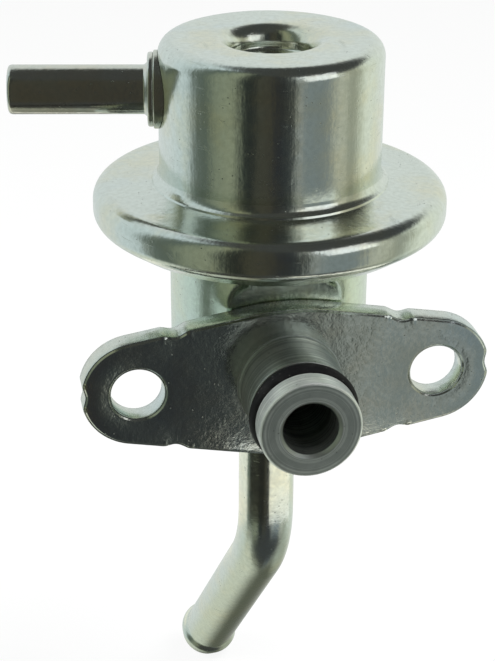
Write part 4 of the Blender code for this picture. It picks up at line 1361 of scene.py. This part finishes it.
@dataclass
class Studio:
    """Camera, lamps, floor and surroundings. The camera and floor in mm, lamps and cards in metres."""

    camera_place: tuple[float, float, float] = (-43.72, -195.61, 102.85)
    camera_target: tuple[float, float, float] = (-2.84, 13.9, 1.22)
    camera_roll: float = math.radians(0.4)
    lens_px: float = 1760.0
    frame_height_px: float = 661.0
    sensor: float = 36.0
    floor_drop: float = 2.1
    floor_glow: float = 0.88
    backdrop_share: float = 0.25
    lamp_distance: float = 0.55
    card_distance: float = 0.060
    card_height: float = 0.022
    lamps: tuple[Lamp, ...] = (Lamp("key_lamp", 60.0, 62.0, 0.30, 13.0, False),
                               Lamp("fill_lamp", -75.0, 35.0, 0.45, 4.5, False),
                               Lamp("window_lamp", 42.0, 31.0, 0.32, 0.80, True))
    cards: tuple[LowCard, ...] = (LowCard("low_white_card", 1.0, 100.0, (1.12, 1.10, 0.97)),
                                  LowCard("low_black_card", -82.0, -17.0, (0.02, 0.02, 0.018)),
                                  LowCard("low_side_card", -179.0, -96.0, (0.95, 0.96, 0.88)))

    def aim(self) -> None:
        """Place the camera at the photograph's viewing angle."""
        camera = bpy.data.cameras.new("camera")
        camera.sensor_width = self.sensor
        camera.lens = self.lens_px / self.frame_height_px * self.sensor
        camera.clip_start = 0.005
        camera.clip_end = 10.0
        obj = add_object("camera", camera)
        place = Vector(self.camera_place) * MM
        back = (place - Vector(self.camera_target) * MM).normalized()
        right = Vector((0.0, 0.0, 1.0)).cross(back).normalized()
        up = back.cross(right)
        rolled_right = right * math.cos(self.camera_roll) + up * math.sin(self.camera_roll)
        rolled_up = up * math.cos(self.camera_roll) - right * math.sin(self.camera_roll)
        turn = Matrix((rolled_right, rolled_up, back)).transposed().to_4x4()
        obj.matrix_world = Matrix.Translation(place) @ turn
        bpy.context.scene.camera = obj

    def hang(self, lamp: Lamp) -> None:
        """Hang a lamp and turn it to the part.

        Args:
            lamp: The lamp, which the plating mirrors only where it says so.
        """
        light = bpy.data.lights.new(lamp.name, "AREA")
        light.shape = "SQUARE"
        light.size = lamp.size
        light.energy = lamp.radiance * math.pi * lamp.size * lamp.size
        obj = add_object(lamp.name, light)
        a, e = math.radians(lamp.azimuth), math.radians(lamp.elevation)
        toward = Vector((math.sin(a) * math.cos(e), -math.cos(a) * math.cos(e), math.sin(e)))
        centre = (CAD_LOW + CAD_HIGH) / 2.0
        obj.location = centre + toward * self.lamp_distance
        obj.rotation_mode = "QUATERNION"
        obj.rotation_quaternion = toward.to_track_quat("Z", "Y")
        obj.visible_glossy = lamp.mirrored

    def stand(self, plan: LowCard) -> None:
        """Stand a card round the pipe, which only the plating mirrors.

        Args:
            plan: The card.
        """
        bm = bmesh.new()
        foot = CAD_LOW.z
        start = Matrix.Rotation(math.radians(plan.first), 4, "Z") @ Vector((0.0, -self.card_distance, 0.0))
        low = bm.verts.new((start.x, start.y, foot))
        high = bm.verts.new((start.x, start.y, foot + self.card_height))
        edge = bm.edges.new((low, high))
        bmesh.ops.spin(bm, geom=[low, high, edge], cent=(0, 0, 0), axis=(0, 0, 1), steps=24,
                       angle=math.radians(plan.last - plan.first), use_merge=False)
        bmesh.ops.translate(bm, vec=(0.0, Workshop.axis_back * MM, 0.0), verts=bm.verts)
        mesh = mesh_of(plan.name, bm)
        material, graph = new_graph(plan.name + "_face")
        face = graph.signal("ShaderNodeEmission", None, {"Color": (*plan.colour, 1.0), "Strength": 1.0})
        graph.node("ShaderNodeOutputMaterial", None, {"Surface": face})
        mesh.materials.append(material)
        card = add_object(plan.name, mesh)
        card.visible_camera = False
        card.visible_diffuse = False
        card.visible_shadow = False

    def surroundings(self) -> None:
        """Light the world: a pale backdrop, and the darker room in front of it for the plating to mirror."""
        world = bpy.data.worlds.new("studio")
        world.use_nodes = True
        bpy.context.scene.world = world
        graph = Graph(world.node_tree)
        direction = graph.signal("ShaderNodeTexCoord", output="Generated")
        parts = graph.node("ShaderNodeSeparateXYZ", None, {0: direction})
        x, y, z = (Signal(graph, parts.outputs[i]) for i in range(3))
        azimuth = graph.signal("ShaderNodeMath", {"operation": "ARCTAN2"}, {0: x, 1: y * -1.0})
        turn = azimuth / FULL_TURN + 0.5
        stops = [(a / 360.0 + 0.5, colour) for a, colour in STUDIO_SIDES]
        room = graph.signal("ShaderNodeValToRGB", {"stops": stops}, {0: turn})
        room = graph.blend(room, STUDIO_CEILING, (z + x * 0.4).above(0.72, 0.88))
        sheet = graph.blend(STUDIO_FLOOR_LEFT, STUDIO_FLOOR_MIDDLE, x.above(-0.42, 0.10))
        sheet = graph.blend(sheet, STUDIO_FLOOR_RIGHT, x.above(0.28, 0.50))
        room = graph.blend(room, sheet, z.above(-0.50, -0.75) * y.above(-0.30, 0.0))
        room = graph.blend(room, STUDIO_CEILING, z.above(-0.62, -0.80) * y.above(-0.05, -0.35))
        path = graph.node("ShaderNodeLightPath")
        camera, glossy, through = (Signal(graph, path.outputs[name]) for name in
                                   ("Is Camera Ray", "Is Glossy Ray", "Is Transmission Ray"))
        behind = y.above(0.35, 0.75) * (1.0 - z.above(0.7, 0.9))
        backdrop = camera + through + glossy * behind * self.backdrop_share
        colour = graph.blend(room, (1.0, 1.0, 1.0), backdrop)
        background = graph.signal("ShaderNodeBackground", None, {"Color": colour, "Strength": 1.0})
        graph.node("ShaderNodeOutputWorld", None, {"Surface": background})

    def floor(self) -> None:
        """Lay the pale floor just under the part."""
        bm = bmesh.new()
        bmesh.ops.create_grid(bm, x_segments=1, y_segments=1, size=6.0)
        bmesh.ops.translate(bm, vec=(0.0, 0.0, CAD_LOW.z - self.floor_drop * MM), verts=bm.verts)
        mesh = mesh_of("studio_floor", bm)
        material, graph = new_graph("studio_floor_paper")
        path = graph.node("ShaderNodeLightPath")
        seen = Signal(graph, path.outputs["Is Camera Ray"])
        paper = graph.signal("ShaderNodeBsdfDiffuse", None, {"Color": (0.86, 0.86, 0.86, 1.0)})
        glow = graph.signal("ShaderNodeEmission", None, {"Color": (1.0, 1.0, 1.0, 1.0), "Strength": 1.0})
        mixed = graph.signal("ShaderNodeMixShader", None, {0: seen * self.floor_glow, 1: paper, 2: glow})
        graph.node("ShaderNodeOutputMaterial", None, {"Surface": mixed})
        mesh.materials.append(material)
        floor = add_object("studio_floor", mesh)
        floor.visible_glossy = False

    def set_up(self) -> None:
        """Build the whole studio."""
        self.aim()
        self.surroundings()
        self.floor()
        for lamp in self.lamps:
            self.hang(lamp)
        for card in self.cards:
            self.stand(card)
        bpy.context.scene.view_settings.view_transform = "Standard"


def main() -> None:
    """Build every piece, dress the inner nodes and set up the studio."""
    logging.basicConfig(level=logging.INFO, format="%(name)s: %(message)s")
    shop = Workshop()
    case_zinc = ZincFinish("cup_zinc").make()
    lower_zinc = ZincFinish("chamber_zinc", silver=(0.70, 0.79, 0.68), straw=(0.78, 0.79, 0.58),
                            roughness=0.19).make()
    plate_zinc = ZincFinish("plate_zinc", silver=(0.74, 0.78, 0.74), straw=(0.78, 0.76, 0.66),
                            roughness=0.15, grain=3.6, mottled=0.42, drawn=(1.0, 1.0, 1.0), scratched=0.4,
                            sheared=True).make()
    tube_zinc = ZincFinish("tube_zinc", silver=(0.74, 0.78, 0.70), roughness=0.17, wave=0.6).make()
    nipple_zinc = ZincFinish("nipple_zinc", silver=(0.74, 0.76, 0.72), straw=(0.74, 0.70, 0.60),
                             roughness=0.14, drawn=(0.12, 1.0, 1.0), wave=0.3, scratched=0.5).make()
    washer_zinc = ZincFinish("washer_zinc", silver=(0.70, 0.72, 0.66), straw=(0.70, 0.66, 0.52),
                             roughness=0.22, wave=0.5).make()
    spigot_steel = TurnedFinish("spigot_turned_zinc").make()
    seal_rubber = RubberFinish("seal_ring_rubber").make()

    cup = CupAssembly(shop)
    cup.build_case(case_zinc)
    cup.build_nipple(nipple_zinc, washer_zinc)
    FuelChamber(shop, cup).build(lower_zinc)
    port = PortAssembly(shop)
    port.build_plate(plate_zinc)
    port.build_spigot(spigot_steel)
    port.build_ring(seal_rubber)
    ReturnLine(shop).build(tube_zinc)
    ValveTrain().dress()
    Studio().set_up()


if __name__ == "__main__":
    main()
